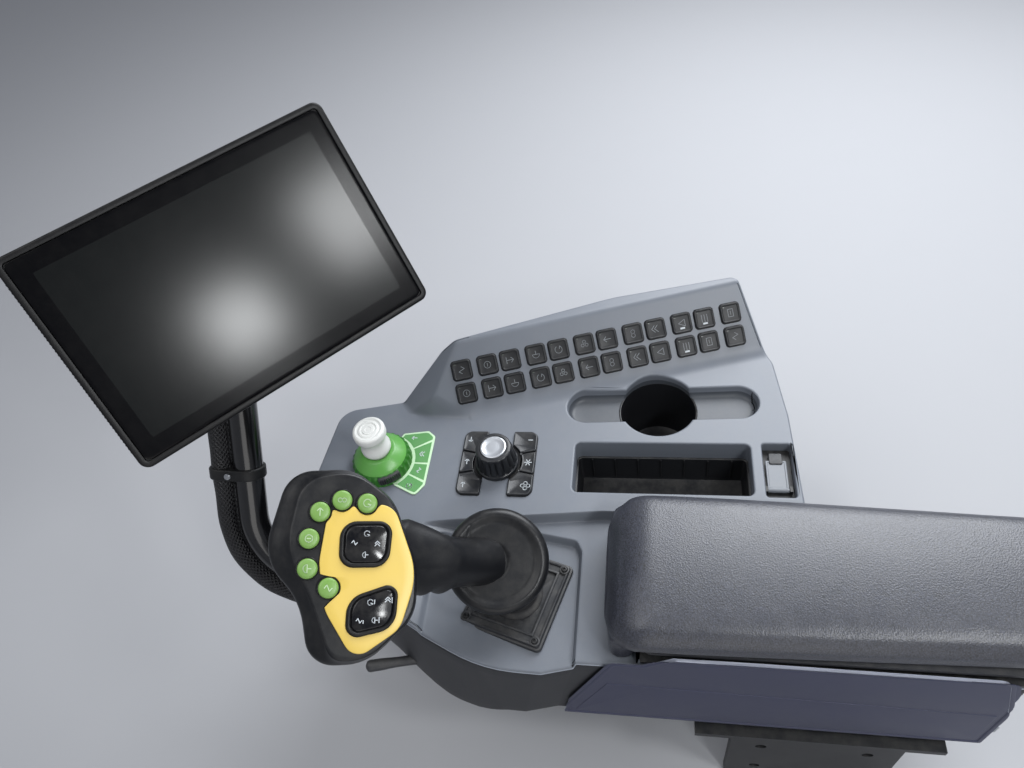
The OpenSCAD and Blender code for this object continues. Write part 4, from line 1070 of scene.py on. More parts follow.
for row in (0, 1):
    for i in range(12):
        along = FIRST_COL - math.ceil(i / 2) * PAIR_GAP - (i // 2) * KEY_PITCH
        at = np.array([ROW_1 + row * ROW_PITCH, along, 0.0])
        sign = strokes(SIGNS[(i * 5 + row * 7) % len(SIGNS)], 0.62, 2.48, scale=1.15)
        for part, colour in ((key, 0), (gap, 1), (lamp, 2), (sign, 3)):
            key_parts.append(moved(part, at) + (colour,))
        if (row, i) in BAR_KEYS:
            key_parts.append(moved(bar, at) + (4,))
key_parts = [moved(part, wing_at, on_wing) for part in key_parts]
piece("soft_keys", key_parts, [KEY_RUBBER, FRAME_BLACK, LAMP_DARK, SIGN_FAINT, SIGN_PALE],
      "console", ["panel_keys"], crease=35)

# %% [markdown]
# ## Range dial
# The dial is a green cone with a scalloped edge, a ribbed dark grip let into it and a white
# push knob. Turned forms fit all of them: a profile of radius and height on circles, with
# the radius waved round the edge for the scallops.

# %% Dial
DIAL_AT, DIAL_R, GRIP_FACES = np.array([-79.0, 290.0, 0.0]), 32.0, -150


def scallops(t, z, r):
    """Shallow hollows round the edge: depth times a squared sine, only on the outer band."""
    band = ((z > 1.5) & (z < 13.5) & (r > 27)).astype(float)
    return -1.3 * band * np.sin(t * 14) ** 2


dial_side = [(0, 0.3), (DIAL_R, 0.3), (DIAL_R, 1.2), (31.9, 3.0), (31.8, 9.0), (31.3, 11.6),
             (30.0, 13.2), (28.4, 14.4)]
dial_top = [(28.4, 14.4), (27.8, 15.3), (26.6, 16.8), (22.0, 20.6), (19.0, 23.0), (17.6, 23.9),
            (14.0, 24.0), (13.0, 23.4), (12.4, 21.0), (12.3, 16.2), (0, 16.2)]
# The top cone and the well under the knob take the lighter green, painted light on faces that look
# up; the flank keeps the darker green.
dial_parts = [shell(turned(dial_side, 168, scallops), "none"),
              shell(turned(dial_top, 168), "none") + (1,)]
piece("range_dial", [moved(part, DIAL_AT) for part in dial_parts], [DIAL_GREEN, DIAL_TOP_PAINTED_LIGHT],
      "console", ["dial_base"], crease=32)


# %% Grip and push knob
def wrap_on_dial(patch):
    """Bend a flat patch round the dial: x becomes an angle, y the height, z the way out."""
    points = np.asarray(patch[0], float)
    angle = math.radians(GRIP_FACES) + points[:, 0] / DIAL_R
    r = DIAL_R + points[:, 2]
    bent = np.stack([r * np.cos(angle), r * np.sin(angle), points[:, 1]], 1) + DIAL_AT
    return (bent,) + tuple(patch[1:])


grip_parts = [slab(box_plan((0, 8.6), 25.0, 9.8, 1.2, 1.5), -3.2, 0.2, 0.6)]
for k in range(-5, 6):
    grip_parts.append(slab(box_plan((k * 2.2, 8.6), 1.1, 8.2, 0.4, 1.5), 0.0, 1.1, 0.35))
grip_parts = [wrap_on_dial(part) for part in grip_parts]
piece("dial_grip", grip_parts, [BASE_GREY], "console", ["dial_insert"])

knob_side = [(0, 16.6), (11.8, 16.6), (11.9, 25.0), (14.6, 26.4), (15.6, 28.2), (15.7, 31.5),
             (15.0, 34.0), (13.6, 38.0), (13.1, 42.0), (13.6, 45.6), (15.6, 49.0), (16.7, 50.4),
             (17.0, 52.0), (17.0, 57.0), (16.5, 58.8), (15.2, 59.8), (13.6, 60.0), (12.9, 59.5),
             (11.2, 59.3), (10.6, 59.8), (8.6, 59.9), (8.0, 59.3), (6.6, 59.2), (6.1, 59.8),
             (3.4, 60.0), (2.9, 59.6), (0, 59.6)]
piece("push_knob", [moved(shell(turned(knob_side, 96), "none"), DIAL_AT)], [KNOB_WHITE],
      "console", ["dial_knob"], crease=38)

# %% [markdown]
# Beside the dial lies a legend: a pale plate with four green fields and a sign in each. A
# field fills an angle seen from the dial, out to the plate's border.

# %% Legend
legend_plan = rounded([(-38, 247, 4), (-42, 275, 4), (-80, 290, 1), (-108, 272, 4),
                       (-120, 247, 5), (-107, 238.5, 4), (-45, 238.5, 4)], arc=15, step=4)


def reach(outline, centre, theta_values):
    """Distance from a centre to an outline in each direction: the farthest edge crossing."""
    a, b = outline - centre, np.roll(outline, -1, 0) - centre
    d = np.stack([np.cos(theta_values), np.sin(theta_values)], 1)[:, None]
    edge = b - a
    cross = d[..., 0] * edge[:, 1] - d[..., 1] * edge[:, 0]
    cross = np.where(np.abs(cross) < 1e-9, 1e-9, cross)
    far = (a[:, 0] * edge[:, 1] - a[:, 1] * edge[:, 0]) / cross
    share_on = (a[:, 0] * d[..., 1] - a[:, 1] * d[..., 0]) / cross
    valid = (share_on >= -1e-6) & (share_on <= 1 + 1e-6) & (far > 0)
    return np.where(valid, far, 0).max(1)


legend_parts = [slab(legend_plan, 0.3, 1.5, 0.4)]
inner_plan = legend_plan - outward_of(legend_plan) * 2.2
FIELDS, FIELD_FROM = [(-26, -59), (-62, -90.5), (-93.5, -114.5), (-117.5, -144)], 35.2
for (start, end), sign in zip(FIELDS, (1, 11, 7, 3)):
    angle = np.radians(np.linspace(end, start, 14))
    far = reach(inner_plan, DIAL_AT[:2], angle)
    ray = np.stack([np.cos(angle), np.sin(angle)], 1)
    field = np.vstack([ray[::-1] * FIELD_FROM, ray * far[:, None]]) + DIAL_AT[:2]
    legend_parts.append(slab(field, 1.2, 1.72, 0.0) + (1,))
    turn = math.radians((start + end) / 2)
    way_out = np.array([math.cos(turn), math.sin(turn)])
    middle = DIAL_AT[:2] + (FIELD_FROM + far[7]) / 2 * way_out
    legend_parts.append(strokes(SIGNS[sign], 0.9, 1.8, middle, 0.85) + (2,))
piece("dial_legend_plate", legend_parts, [LEGEND_PALE, LEGEND_CELL, SIGN_PALE], "console",
      ["dial_legend"])

# %% [markdown]
# ## Jog wheel
# A dark wheel with finger ribs and a bright cap turns between six flat keys. The ribs are a
# power of a cosine on the radius, which makes round ridges with narrow valleys.

# %% Jog wheel
JOG_AT, JOG_BLOCK = np.array([-78.0, 165.0, 0.0]), 80.0


def finger_ribs(t, z, r):
    """Round ridges with narrow valleys: the radius is cut by depth times (1 - the square root
    of |cos|), only on the wheel's flank."""
    band = ease((z - 5.5) / 2.5) * (1 - ease((z - 25.5) / 2.5))
    return -3.0 * band * (1 - np.sqrt(np.abs(np.cos(t * 8))))


jog_side = [(0, 0.3), (22.2, 0.3), (22.5, 0.8), (22.5, 4.2), (21.9, 5.0), (21.3, 5.3),
            (21.1, 6.5), (21.0, 8.0), (20.4, 14.0), (19.8, 20.0), (19.3, 25.0), (18.9, 27.0),
            (18.0, 28.6), (16.6, 29.3), (14.7, 29.3), (14.0, 28.6), (13.9, 26.2), (0, 26.2)]
piece("jog_wheel", [moved(shell(turned(jog_side, 200, finger_ribs), "none"), JOG_AT)],
      [JOG_BLACK], "console", ["jog_knob"], crease=45)
cap_side = [(0, 26.4), (13.6, 26.4), (13.6, 29.0), (13.2, 29.8), (12.2, 30.2), (11.2, 30.1),
            (10.6, 29.8), (6.0, 29.95), (0, 30.0)]
piece("jog_wheel_cap", [moved(shell(turned(cap_side, 72), "none"), JOG_AT)], [CAP_SILVER],
      "console", ["jog_cap"])

# %% [markdown]
# The keys lie in two rows of three, and each is cut off by a circle round the wheel.

# %% Keys round the wheel
out_x, in_x = (-0.5, -0.18, 0.18, 0.5), (-0.5, -0.11, 0.11, 0.5)
rays = [[(0, 0), line[-1]] for line in (circle_line(4.2, a - 5, 5) for a in range(0, 360, 60))]
jog_signs = {(0, 0): SIGNS[1], (0, 1): SIGNS[1], (0, 2): SIGNS[5][:2], (1, 2): fan_lines(4, 6.0),
             (1, 1): rays, (1, 0): [[(-2.5, 0), (2.5, 0)]]}
jog_bed = slab(rounded([(40, 14, 2), (40, 40, 9), (-40, 40, 9), (-40, 14, 2)], arc=12, step=3),
               0.25, 1.1, 0.3)
jog_parts = [moved(jog_bed, JOG_AT, spin(z=turn)) + (2,) for turn in (0, 180)]
for side in (0, 1):
    for i in range(3):
        key = rounded([(out_x[i + 1] * JOG_BLOCK - 0.7, JOG_BLOCK / 2 - 0.5, 8 if i == 2 else 2),
                       (out_x[i] * JOG_BLOCK + 0.7, JOG_BLOCK / 2 - 0.5, 8 if i == 0 else 2),
                       (in_x[i] * JOG_BLOCK + 0.7, 14, 2),
                       (in_x[i + 1] * JOG_BLOCK - 0.7, 14, 2)], arc=12, step=2.5)
        span = np.linalg.norm(key, axis=1)
        key = key * np.maximum(1, 25.6 / span)[:, None]
        turn = spin(z=180.0 * side)
        top = shell(rings(key, [(0.0, 0.3), (0, 0.6), (0, 2.0), (-0.3, 2.7), (-0.9, 3.1),
                                (-1.5, 3.1), (-2.1, 2.7)]))
        jog_parts.append(moved(top, JOG_AT, turn) + (0,))
        middle = ((out_x[i] + out_x[i + 1]) * JOG_BLOCK / 2 * (1.04 if i != 1 else 1), 32.5)
        back = spin(z=-180.0 * side - 90.0)[:2, :2]
        lines = [[tuple(back @ np.array(p)) for p in line] for line in jog_signs[(side, i)]]
        sign = strokes(lines, 0.8, 2.85, middle, 0.9)
        jog_parts.append(moved(sign, JOG_AT, turn) + (1,))
piece("jog_key_caps", jog_parts, [JOG_BLACK, SIGN_PALE, FRAME_BLACK], "console", ["jog_keys"],
      crease=35)

# %% [markdown]
# ## Joystick
# The stick stands in its pocket on a ribbed plate with four screws. The plate is a stack of
# square rings whose last one turns into the circle where the rubber boot comes out.

# %% Stick base
BASE_W, BASE_YAW = 88.0, -17.0
base_at, base_turn = np.array([GIMBAL[0], GIMBAL[1], -POCKET_H]), spin(z=BASE_YAW)
base_plan = box_plan((0, 0), BASE_W, BASE_W - 4, 5.0, 2.0)
base_side = [(0, 0.3), (0, 3.6), (-0.5, 4.5), (-1.4, 4.8), (-2.2, 4.8), (-2.5, 5.6),
             (-2.6, 7.2), (-3.1, 7.9), (-4.2, 8.0), (-5.0, 7.6), (-5.3, 6.4), (-10.2, 6.3),
             (-10.7, 7.2), (-11.2, 7.5), (-12.4, 7.5), (-12.9, 7.1), (-13.3, 4.9)]
base_grid = rings(base_plan, base_side)
around = np.arctan2(base_plan[:, 1], base_plan[:, 0])
HOLE_R = 24.5
round_hole = HOLE_R * np.stack([np.cos(around), np.sin(around)], 1)
square = base_grid[-1][:, :2]
rows_in = []
for k, z in ((0.2, 4.8), (0.9, 4.6), (1.0, 3.4)):
    flat_points = square * (1 - k) + round_hole * k
    rows_in.append(np.concatenate([flat_points, np.full((len(square), 1), z)], 1))
base_grid = np.concatenate([base_grid, np.stack(rows_in)])
base_parts = [moved(shell(base_grid, "low"), base_at, base_turn)]
screw_side = [(0, 6.0), (4.6, 6.0), (4.6, 8.3), (4.0, 8.5), (3.2, 8.5), (3.1, 8.0), (2.9, 7.9)]
head_side = [(2.9, 7.9), (2.8, 9.2), (2.4, 9.8), (1.3, 10.0), (1.2, 8.8), (0, 8.8)]
for x in (-1, 1):
    for y in (-1, 1):
        corner_at = base_turn @ np.array([x * 37.0, y * 35.0, 0]) + base_at
        base_parts.append(moved(shell(turned(screw_side, 24), "none"), corner_at))
        base_parts.append(moved(shell(turned(head_side, 24), "none"), corner_at) + (1,))
base = piece("stick_base_plate", base_parts, [BASE_GREY, STEEL_BLACK], "console",
             ["stick_base"], crease=35, outward=False)
face_outwards(base, lambda c: [0, 0, 1.0] + 0.6 * unit(c - (GIMBAL + [0, 0, 12])))

# %% [markdown]
# The rubber boot is made in two bellows that share a ring on the gimbal's yoke: the lower one
# runs from the console to the yoke, the upper one from the yoke to the stick. Each is circles
# along the stalk, with the radius folded in waves.

# %% Boot
REST_C = np.array([-206.0, 141.0, 36.0])
stalk = REST_C - GIMBAL


def bellows(z_low, z_high, r_low, r_high, folds):
    """Circles up the stalk: a radius that falls from low to high plus a wave for each fold."""
    k = np.linspace(0, 1, folds * 10 + 1)
    z = z_low + (z_high - z_low) * k
    share_up = (z - GIMBAL[2]) / stalk[2]
    lean = ease((z + 18) / 22)
    centre = GIMBAL + stalk * share_up[:, None] * np.array([1, 1, 0]) * lean[:, None]
    centre[:, 2] = z
    r = r_low + (r_high - r_low) * ease(k) + 1.3 * np.sin(2 * np.pi * folds * k)
    t = np.linspace(0, 2 * np.pi, 72, endpoint=False)
    circle_points = np.stack([np.cos(t), np.sin(t), 0 * t], 1)
    return centre[:, None] + r[:, None, None] * circle_points


lower = piece("boot_lower", [shell(bellows(-20.0, 3.0, 24.8, 20.0, 2), "none")], [BELLOWS],
              None, ["stick_gaiter"], crease=60)
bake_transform(lower)
upper = piece("boot_upper", [shell(bellows(3.0, 23.0, 20.0, 15.5, 2), "none")], [BELLOWS],
              None, ["stick_boot"], crease=60)
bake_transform(upper)

# %% [markdown]
# The hand lies on a thick round rest. Its rim is full and its middle is hollowed where the
# neck leaves at a slant, so the hollow follows the distance to the neck, not to the centre, and
# fades where the neck leans over it. A straight shallow seam crosses the rim; its direction is
# the one that the photograph shows, solved for the plane of the rest.

# %% Hand rest
REST_TURN = spin(z=-155) @ spin(y=28)
NECK_TOP = np.array([-264.0, 222.0, 130.0])
NECK_R = 21.5
SEAM_AT, SEAM_FROM, SEAM_SEEN = math.radians(-168), 44.0, (-0.17, 1.0)
neck_dir = unit(NECK_TOP - REST_C)
rest_up = REST_TURN @ np.array([0, 0, 1.0])
NECK_AHEAD = 14.0 * unit(neck_dir - (neck_dir @ rest_up) * rest_up)
rest_side = [(0, -9.0), (20, -9.4), (32, -10.0), (39, -8.8), (43.5, -6.2), (46.2, -2.6),
             (47.0, 1.0), (46.7, 4.0), (45.6, 6.8), (43.6, 8.8), (41.0, 9.8)]
rest_side += [(r, 10.0 - 2.4 * ease((41.0 - r) / 9.0)) for r in np.linspace(39.6, 0, 40)]
rest_grid = turned(rest_side, 240)
slanted = unit(NECK_TOP - REST_C - NECK_AHEAD) @ REST_TURN
beside_neck = rest_grid - NECK_AHEAD @ REST_TURN
along_neck = (beside_neck @ slanted)[..., None] * slanted
from_neck = np.linalg.norm(beside_neck - along_neck, axis=-1) - NECK_R
ahead_of_middle = rest_grid @ (unit(NECK_AHEAD) @ REST_TURN)
hollow = 1.2 * (1 - ease((from_neck - 0.2) / 2.6)) * ease((4 - ahead_of_middle) / 16)
on_rest_top = ease((rest_grid[..., 2] - 4) / 3)
seen_right, seen_down = np.array([IMAGE_RIGHT, IMAGE_DOWN]) @ REST_TURN[:, :2]
seam_way = unit(np.linalg.solve([seen_right, seen_down], SEAM_SEEN))
seam_start = SEAM_FROM * np.array([math.cos(SEAM_AT), math.sin(SEAM_AT)])
from_rim = rest_grid[..., :2] - seam_start
off_seam = from_rim @ np.array([seam_way[1], -seam_way[0]])
seam_dip = 0.35 * np.exp(-(off_seam / 1.1) ** 2) * (np.abs(from_rim @ seam_way - 11) < 19)
rest_grid[..., 2] -= (hollow + seam_dip) * on_rest_top
rest_grid[..., 1] -= 2.0
piece("hand_rest", [moved(shell(rest_grid, "none"), REST_C, REST_TURN)], [GRIP], "stick",
      ["stick_rest"], crease=60)

# %% [markdown]
# The neck is a round bar that widens towards the head, with three soft bumps for the fingers
# on its far side. The radius is a function of the way along and the angle round the bar. Near
# its ends the bar is drawn in, so that its foot stays in the hand rest and its top in the head.

# %% Neck
HEAD = rounded([(2, 77, 36), (-47, 74, 25), (-63, 8, 40), (-33, -24, 60), (-24, -71, 22),
                (18, -70, 40), (55, -36, 34), (55, 2, 60), (35, 54, 38)], arc=6, step=3)
grip_side = unit(np.cross(neck_dir, [-0.8, 0.4, -0.5]))
grip_out = np.cross(neck_dir, grip_side)
HEAD_C = np.array([-275.0, 232.0, 150.0])
head_turn = spin(0, 33.3, -136.2) @ spin(z=53.8)
IMAGE_UP = -np.array(IMAGE_DOWN)
s = np.linspace(-0.06, 1.02, 90)[:, None]
t = np.linspace(0, 2 * np.pi, 96, endpoint=False)[None]
under = np.clip(-np.cos(t), 0, 1) ** 1.6
lobes = sum(np.exp(-((s - k) / 0.062) ** 2) for k in (0.42, 0.58, 0.74))
neck_turn = math.atan2(grip_side @ IMAGE_UP, grip_out @ IMAGE_UP)
flare = 16.5 * np.clip((s - 0.15) / 0.49, 0, 1.05) ** 1.9 * np.clip(np.cos(t - neck_turn), 0, 1)
radius = NECK_R - 0.8 * ease(s / 0.2) + 4.6 * under * lobes + flare
neck_line = REST_C + (NECK_TOP - REST_C) * s + NECK_AHEAD * (1 - s)
neck_line = neck_line + (HEAD_C - NECK_TOP) * 0.25 * ease((s - 0.7) / 0.35)
neck_grid = neck_line[:, None] + radius[..., None] * (
    np.cos(t)[..., None] * grip_out + np.sin(t)[..., None] * grip_side)
in_rest = (neck_grid - REST_C) @ REST_TURN
in_rest[..., 2] = np.maximum(in_rest[..., 2], -8.0)
reach_out = np.hypot(in_rest[..., 0], in_rest[..., 1])
near_rest = ease((13.0 - in_rest[..., 2]) / 8.0) * (1 - np.minimum(1, 43.5 / reach_out))
in_rest[..., :2] *= (1 - near_rest)[..., None]
neck_grid = in_rest @ REST_TURN.T + REST_C
in_head = (neck_grid - HEAD_C) @ head_turn
facing = np.arctan2(in_head[..., 1], in_head[..., 0])
edge_there = 0.95 * reach(HEAD, np.zeros(2), facing.ravel()).reshape(facing.shape)
ratio = np.hypot(in_head[..., 0], in_head[..., 1]) / edge_there
near_head = ease((in_head[..., 2] + 46.0) / 26.0)
in_head[..., :2] *= (1 - near_head * (1 - (1 + ratio ** 6) ** (-1 / 6)))[..., None]
in_head[..., 2] = np.minimum(in_head[..., 2], -12.0)
neck_grid = in_head @ head_turn.T + HEAD_C
piece("grip_neck", [shell(neck_grid)], [GRIP], "stick", ["stick_neck", "stick_trigger"],
      crease=60)

# %% [markdown]
# The head is lofted between two outlines: the smaller front plane and the wider waist, seen
# from the centre at the same angles. Each row of a short table is one ring: how far it is on
# its way from the front to the waist, its scale and its height. The rows give a rounded rim, a
# soft shoulder and a back that is drawn in to meet the neck.

# %% Head
FRONT = rounded([(2, 75, 36), (-36, 66, 24), (-45, 15, 50), (-26, -20, 60), (-8, -66, 13),
                 (18, -67, 37), (53, -35, 33), (53, 2, 59), (34, 52, 37)], arc=6, step=3)
bearings = np.unwrap(np.arctan2(HEAD[:, 1], HEAD[:, 0]))
bearings = np.interp(np.linspace(0, len(HEAD), 181)[:-1], np.arange(len(HEAD) + 1),
                     np.append(bearings, bearings[0] + 2 * np.pi))
ray = np.stack([np.cos(bearings), np.sin(bearings)], 1)
waist = ray * reach(HEAD, np.zeros(2), bearings)[:, None]
front = ray * reach(FRONT, np.zeros(2), bearings)[:, None]
HEAD_ROWS = [(0.0, 0.93, -0.05), (0.0, 0.975, -0.1), (0.0, 0.995, -0.5), (0.03, 1.0, -1.3),
             (0.16, 1.0, -2.9), (0.34, 1.0, -4.8), (0.55, 1.0, -6.8), (0.76, 1.0, -8.6),
             (0.9, 1.0, -10.4), (0.98, 1.0, -12.6), (1.0, 1.0, -15.5), (1.0, 1.0, -20.0),
             (1.0, 0.985, -23.5), (1.0, 0.95, -27.0), (1.0, 0.89, -30.2), (1.0, 0.8, -32.6),
             (1.0, 0.66, -33.8), (1.0, 0.4, -34.0)]
head_rows = []
for share, scale, z in HEAD_ROWS:
    flat_points = (front * (1 - share) + waist * share) * scale
    head_rows.append(np.concatenate([flat_points, np.full((len(ray), 1), z)], 1))
head_rows = np.stack(head_rows)[::-1]
piece("grip_head", [moved(shell(head_rows), HEAD_C, head_turn)], [GRIP], "stick",
      ["stick_head"], crease=50)

# %% [markdown]
# On the head sits a bare yellow plate, with green thumb buttons in round bites along its edge.
# Where a ray from the plate's middle meets a button's circle, the edge comes in to that point,
# and a running mean over thirteen rays rounds the corners.

# %% Face plate
FACE = [(-15, 44, 6), (3, 46.5, 30), (34, 49, 15), (54, -4, 50), (42, -44, 20), (9, -66, 12),
        (-14, -30, 30), (-20, 4, 40)]
BUTTONS = [(-21, 42), (-5, 51), (14, 49), (-28, 22), (-28, 0), (-12, -14)]
FACE_MIDDLE, BITE_R = np.array([14.0, -6.0]), 8.9
look = np.linspace(0, 2 * np.pi, 1201)[:-1]
look_ray = np.stack([np.cos(look), np.sin(look)], 1)
plate_edge = reach(rounded(FACE[::-1], arc=6, step=1.0), FACE_MIDDLE, look)
for button in BUTTONS:
    gap_to = np.array(button, float) - FACE_MIDDLE
    ahead_by = look_ray @ gap_to
    inside_square = ahead_by ** 2 - (gap_to @ gap_to - BITE_R ** 2)
    nearest = ahead_by - np.sqrt(np.maximum(inside_square, 0))
    plate_edge = np.where((inside_square > 0) & (ahead_by > 0), np.minimum(plate_edge, nearest),
                          plate_edge)
wide_edge = np.concatenate([plate_edge[-6:], plate_edge, plate_edge[:6]])
plate_edge = np.convolve(wide_edge, np.full(13, 1 / 13), "valid")
plate_rows = []
for inwards, z in ((0.0, 0.0), (0.0, 2.0), (0.1, 2.45), (0.35, 2.75), (0.8, 2.9), (8.0, 2.9)):
    flat_points = FACE_MIDDLE + look_ray * (plate_edge - inwards)[:, None]
    plate_rows.append(np.concatenate([flat_points, np.full((len(look), 1), z)], 1))
piece("face_plate", [moved(shell(np.stack(plate_rows)), HEAD_C, head_turn)],
      [FACE_YELLOW], "stick", ["stick_face"], crease=35)

# %% Thumb buttons
button_side = [(0, 0.05), (7.5, 0.05), (7.5, 3.6), (7.2, 4.3), (6.4, 4.8), (5.2, 5.05),
               (2.5, 5.3), (0, 5.35)]
frame_side = [(0, 0.1), (8.6, 0.1), (8.6, 2.4), (8.2, 2.8), (7.9, 2.7), (7.7, 2.1), (0, 2.0)]
button_parts = []
for number, (x, y) in enumerate(BUTTONS):
    at = np.array([x, y, 0.0])
    button_parts.append(moved(shell(turned(frame_side, 48), "none"), at) + (1,))
    button_parts.append(moved(shell(turned(button_side, 48), "none"), at) + (0,))
    sign = strokes(SIGNS[(1, 6, 3, 0, 10, 7)[number]], 0.7, 5.45, (x, y), 0.85)
    button_parts.append(sign + (2,))
button_parts = [moved(part, HEAD_C, head_turn) for part in button_parts]
SIGN_GREEN = finish("sign_green", (176, 200, 160), 0.4, grain=2000, depth=0.01)
piece("thumb_buttons", button_parts, [THUMB_GREEN, GRIP, SIGN_GREEN], "stick",
      ["stick_buttons"], crease=40)

# %% [markdown]
# Two rockers sit on the plate: glossy caps inside dark frames, with small white strokes.

# %% Rockers
ROCK_1 = [(-5.5, 0.5, 11), (32, 1, 13), (34.5, 35.8, 10), (-5.5, 35.2, 13)]
ROCK_2 = [(1.5, -51.5, 9), (38.5, -43.5, 16), (40.2, -8.8, 8), (2.0, -21.5, 16)]


def rocker(name, corners, node_name, places, bars):
    """Frame ring, a little thicker to its lower left, and a glossy cap whose height is a low
    dome over its outline. Signs lie at places given as shares of the way out to the frame."""
    outline = rounded(corners, arc=10, step=3)
    centre = outline.mean(0)
    lean = 1.1 * (outward_of(outline) @ unit(np.array([-0.8, -0.6])))[:, None]
    rim_part = rings(outline, [(0.0, 0.1), (0.0, 3.6), (-0.3, 4.4), (-1.0, 4.9), (-1.9, 4.9),
                               (-2.6, 4.4), (-3.0, 3.2)])
    rim_part[4:, :, :2] -= outward_of(outline) * np.maximum(lean, 0)
    cap_plan = outline - outward_of(outline) * (3.1 + np.maximum(lean, 0))
    cap = slab(cap_plan, 2.0, 4.6, 1.6, dome=1.3)
    parts = [shell(rim_part) + (0,), cap + (1,)]
    for k, place in enumerate(places):
        angle = math.atan2(place[1], place[0])
        far = reach(outline, centre, np.array([angle]))[0]
        share_out = math.hypot(*place)
        x = centre[0] + far * share_out * math.cos(angle)
        y = centre[1] + far * share_out * math.sin(angle)
        lift = 4.6 + 1.3 * (1 - (share_out + 0.1) ** 2) + 0.12
        parts.append(strokes(SIGNS[(3, 11, 7, 10)[k]], 0.6, lift, (x, y), 0.6) + (2,))
        if bars:
            side = 1 if k % 2 else -1
            bar = [[(x + 3.1, y - 1.8 * side), (x + 3.1, y + 2.0 * side)]]
            parts.append(ribbons(bar, 0.6, lift) + (2,))
    parts = [moved(part, HEAD_C, head_turn) for part in parts]
    piece(name, parts, [FRAME_BLACK, ROCKER_GLOSS, SIGN_PALE], "stick", [node_name],
          crease=40)


rocker("rocker_cap_upper", ROCK_1, "rocker_upper",
       ((0.02, 0.44), (0.44, -0.02), (-0.44, 0.04), (-0.02, -0.46)), False)
rocker("rocker_cap_lower", ROCK_2, "rocker_lower",
       ((-0.12, 0.42), (0.5, 0.34), (-0.42, -0.3), (0.12, -0.4)), True)

# %% [markdown]
# ## Display
# The display is a thin black case with a sheet of dark glass. The case is one outline carried
# round its section: back, rounded edge, narrow frame, then down to the glass. The glass has a
# black border and a slightly lighter screen.

# %% Display case and glass
DISP_W, DISP_H, DISP_T, DISP_EDGE = 304.0, 207.0, 38.0, 6.0
DISP_C = np.array([-44.3, 372.2, 235.2])
disp_turn = spin(z=-45.7) @ spin(x=55)
disp_n = disp_turn @ np.array([0, 0, 1.0])
case_plan = box_plan((0, 0), DISP_W, DISP_H, 9.0, 8.0)
case_side = [(-20, -DISP_T), (-9, -DISP_T), (-6.5, -37.2), (-4.5, -35.0), (-3.4, -31.5),
             (-2.4, -28.0), (-0.8, -26.0), (0.0, -24.5), (0.0, -2.2), (-0.35, -0.9),
             (-1.1, -0.2), (-2.0, 0.0), (-4.8, 0.0), (-5.6, -0.25), (-5.9, -0.8), (-6.0, -2.9)]
case_parts = [shell(rings(case_plan, case_side))]
for bank in (-1, 1):
    for k in range(14):
        vent = box_plan((bank * 98.0, -78 + k * 4.6), 56.0, 2.0, 0.9, 6.0)
        case_parts.append(slab(vent, -DISP_T - 0.9, -DISP_T + 1, 0.0, 0.6))
for k in range(46):
    rib = box_plan((-DISP_W / 2 - 0.1, -84 + k * 3.7), 1.4, 1.7, 0.4, 3.0)
    case_parts.append(slab(rib, -20.0, -6.0, 0.4, 0.4))
piece("display_case", [moved(p, DISP_C, disp_turn) for p in case_parts], [FRAME_BLACK],
      "display", ["display_housing"], crease=35)
SCREEN_W, SCREEN_H = 261.0, 163.0
GLASS_BORDER = finish("glass_border", (4, 4, 6), 0.2, grain=400, depth=0.002, smudge=0.1,
                      dust=0.02, specular=0.14)
glass_plan = box_plan((0, 0), DISP_W - 2 * DISP_EDGE - 0.6, DISP_H - 2 * DISP_EDGE - 0.6, 6.0)
glass_rim = rings(glass_plan, [(0, -2.95), (0, -1.0), (-0.3, -0.62), (-0.8, -0.5), (-3, -0.5)])
screen_plan = box_plan((0, 0), SCREEN_W, SCREEN_H, 1.0)
screen_ray = np.arctan2(glass_plan[:, 1], glass_plan[:, 0])
screen_reach = reach(screen_plan, np.zeros(2), screen_ray)[:, None]
screen_edge = np.concatenate([screen_reach * np.stack([np.cos(screen_ray), np.sin(screen_ray)],
                              1), np.full((len(glass_plan), 1), -0.5)], 1)
border_grid = np.concatenate([glass_rim, screen_edge[None]])
shares = np.linspace(1, 0.04, 12)[:, None, None]
screen_grid = screen_edge[None] * np.concatenate([shares, shares, np.ones_like(shares)], -1)
piece("display_glass_sheet", [moved(shell(border_grid, "low"), DISP_C, disp_turn) + (0,),
                              moved(shell(screen_grid, "top"), DISP_C, disp_turn) + (1,)],
      [GLASS_BORDER, GLASS_DARK], "display", ["display_glass"], crease=30)

# %% [markdown]
# The glass mirrors two pale patches of sky. A mirrored ray is the camera's ray d turned about
# the glass: d - 2 (d . n) n. A small lamp stands on it, for each place where the photograph
# shows such a patch.

# %% Patches of sky in the glass
CENTRE_PIXEL, FOCAL_PIXELS = np.array([512.0, 384.0]), 770.0
for name, pixel, width, power in (("sky_patch_low", (243, 322), 0.15, 4.0),
                                  ("sky_patch_high", (352, 214), 0.22, 5.0)):
    across_by, down_by = (np.array(pixel) - CENTRE_PIXEL) / FOCAL_PIXELS
    ray_d = unit(np.array(FORWARD) + across_by * np.array(IMAGE_RIGHT) +
                 down_by * np.array(IMAGE_DOWN))
    eye = np.array(CAMERA_AT)
    hit = eye + ray_d * ((metres(DISP_C) - eye) @ disp_n) / (ray_d @ disp_n)
    mirrored = ray_d - 2 * (ray_d @ disp_n) * disp_n
    soft_lamp(name, hit + mirrored * 1.4, hit, width, power, (0.97, 0.99, 1.0))
print("two patches of sky")

# %% [markdown]
# The display stands on a bent tube of glossy black paint. A braided sleeve with the cables
# runs along the outside of the bend and two clips hold it. Both follow the same kind of line:
# straight, an arc about the knee, straight again.

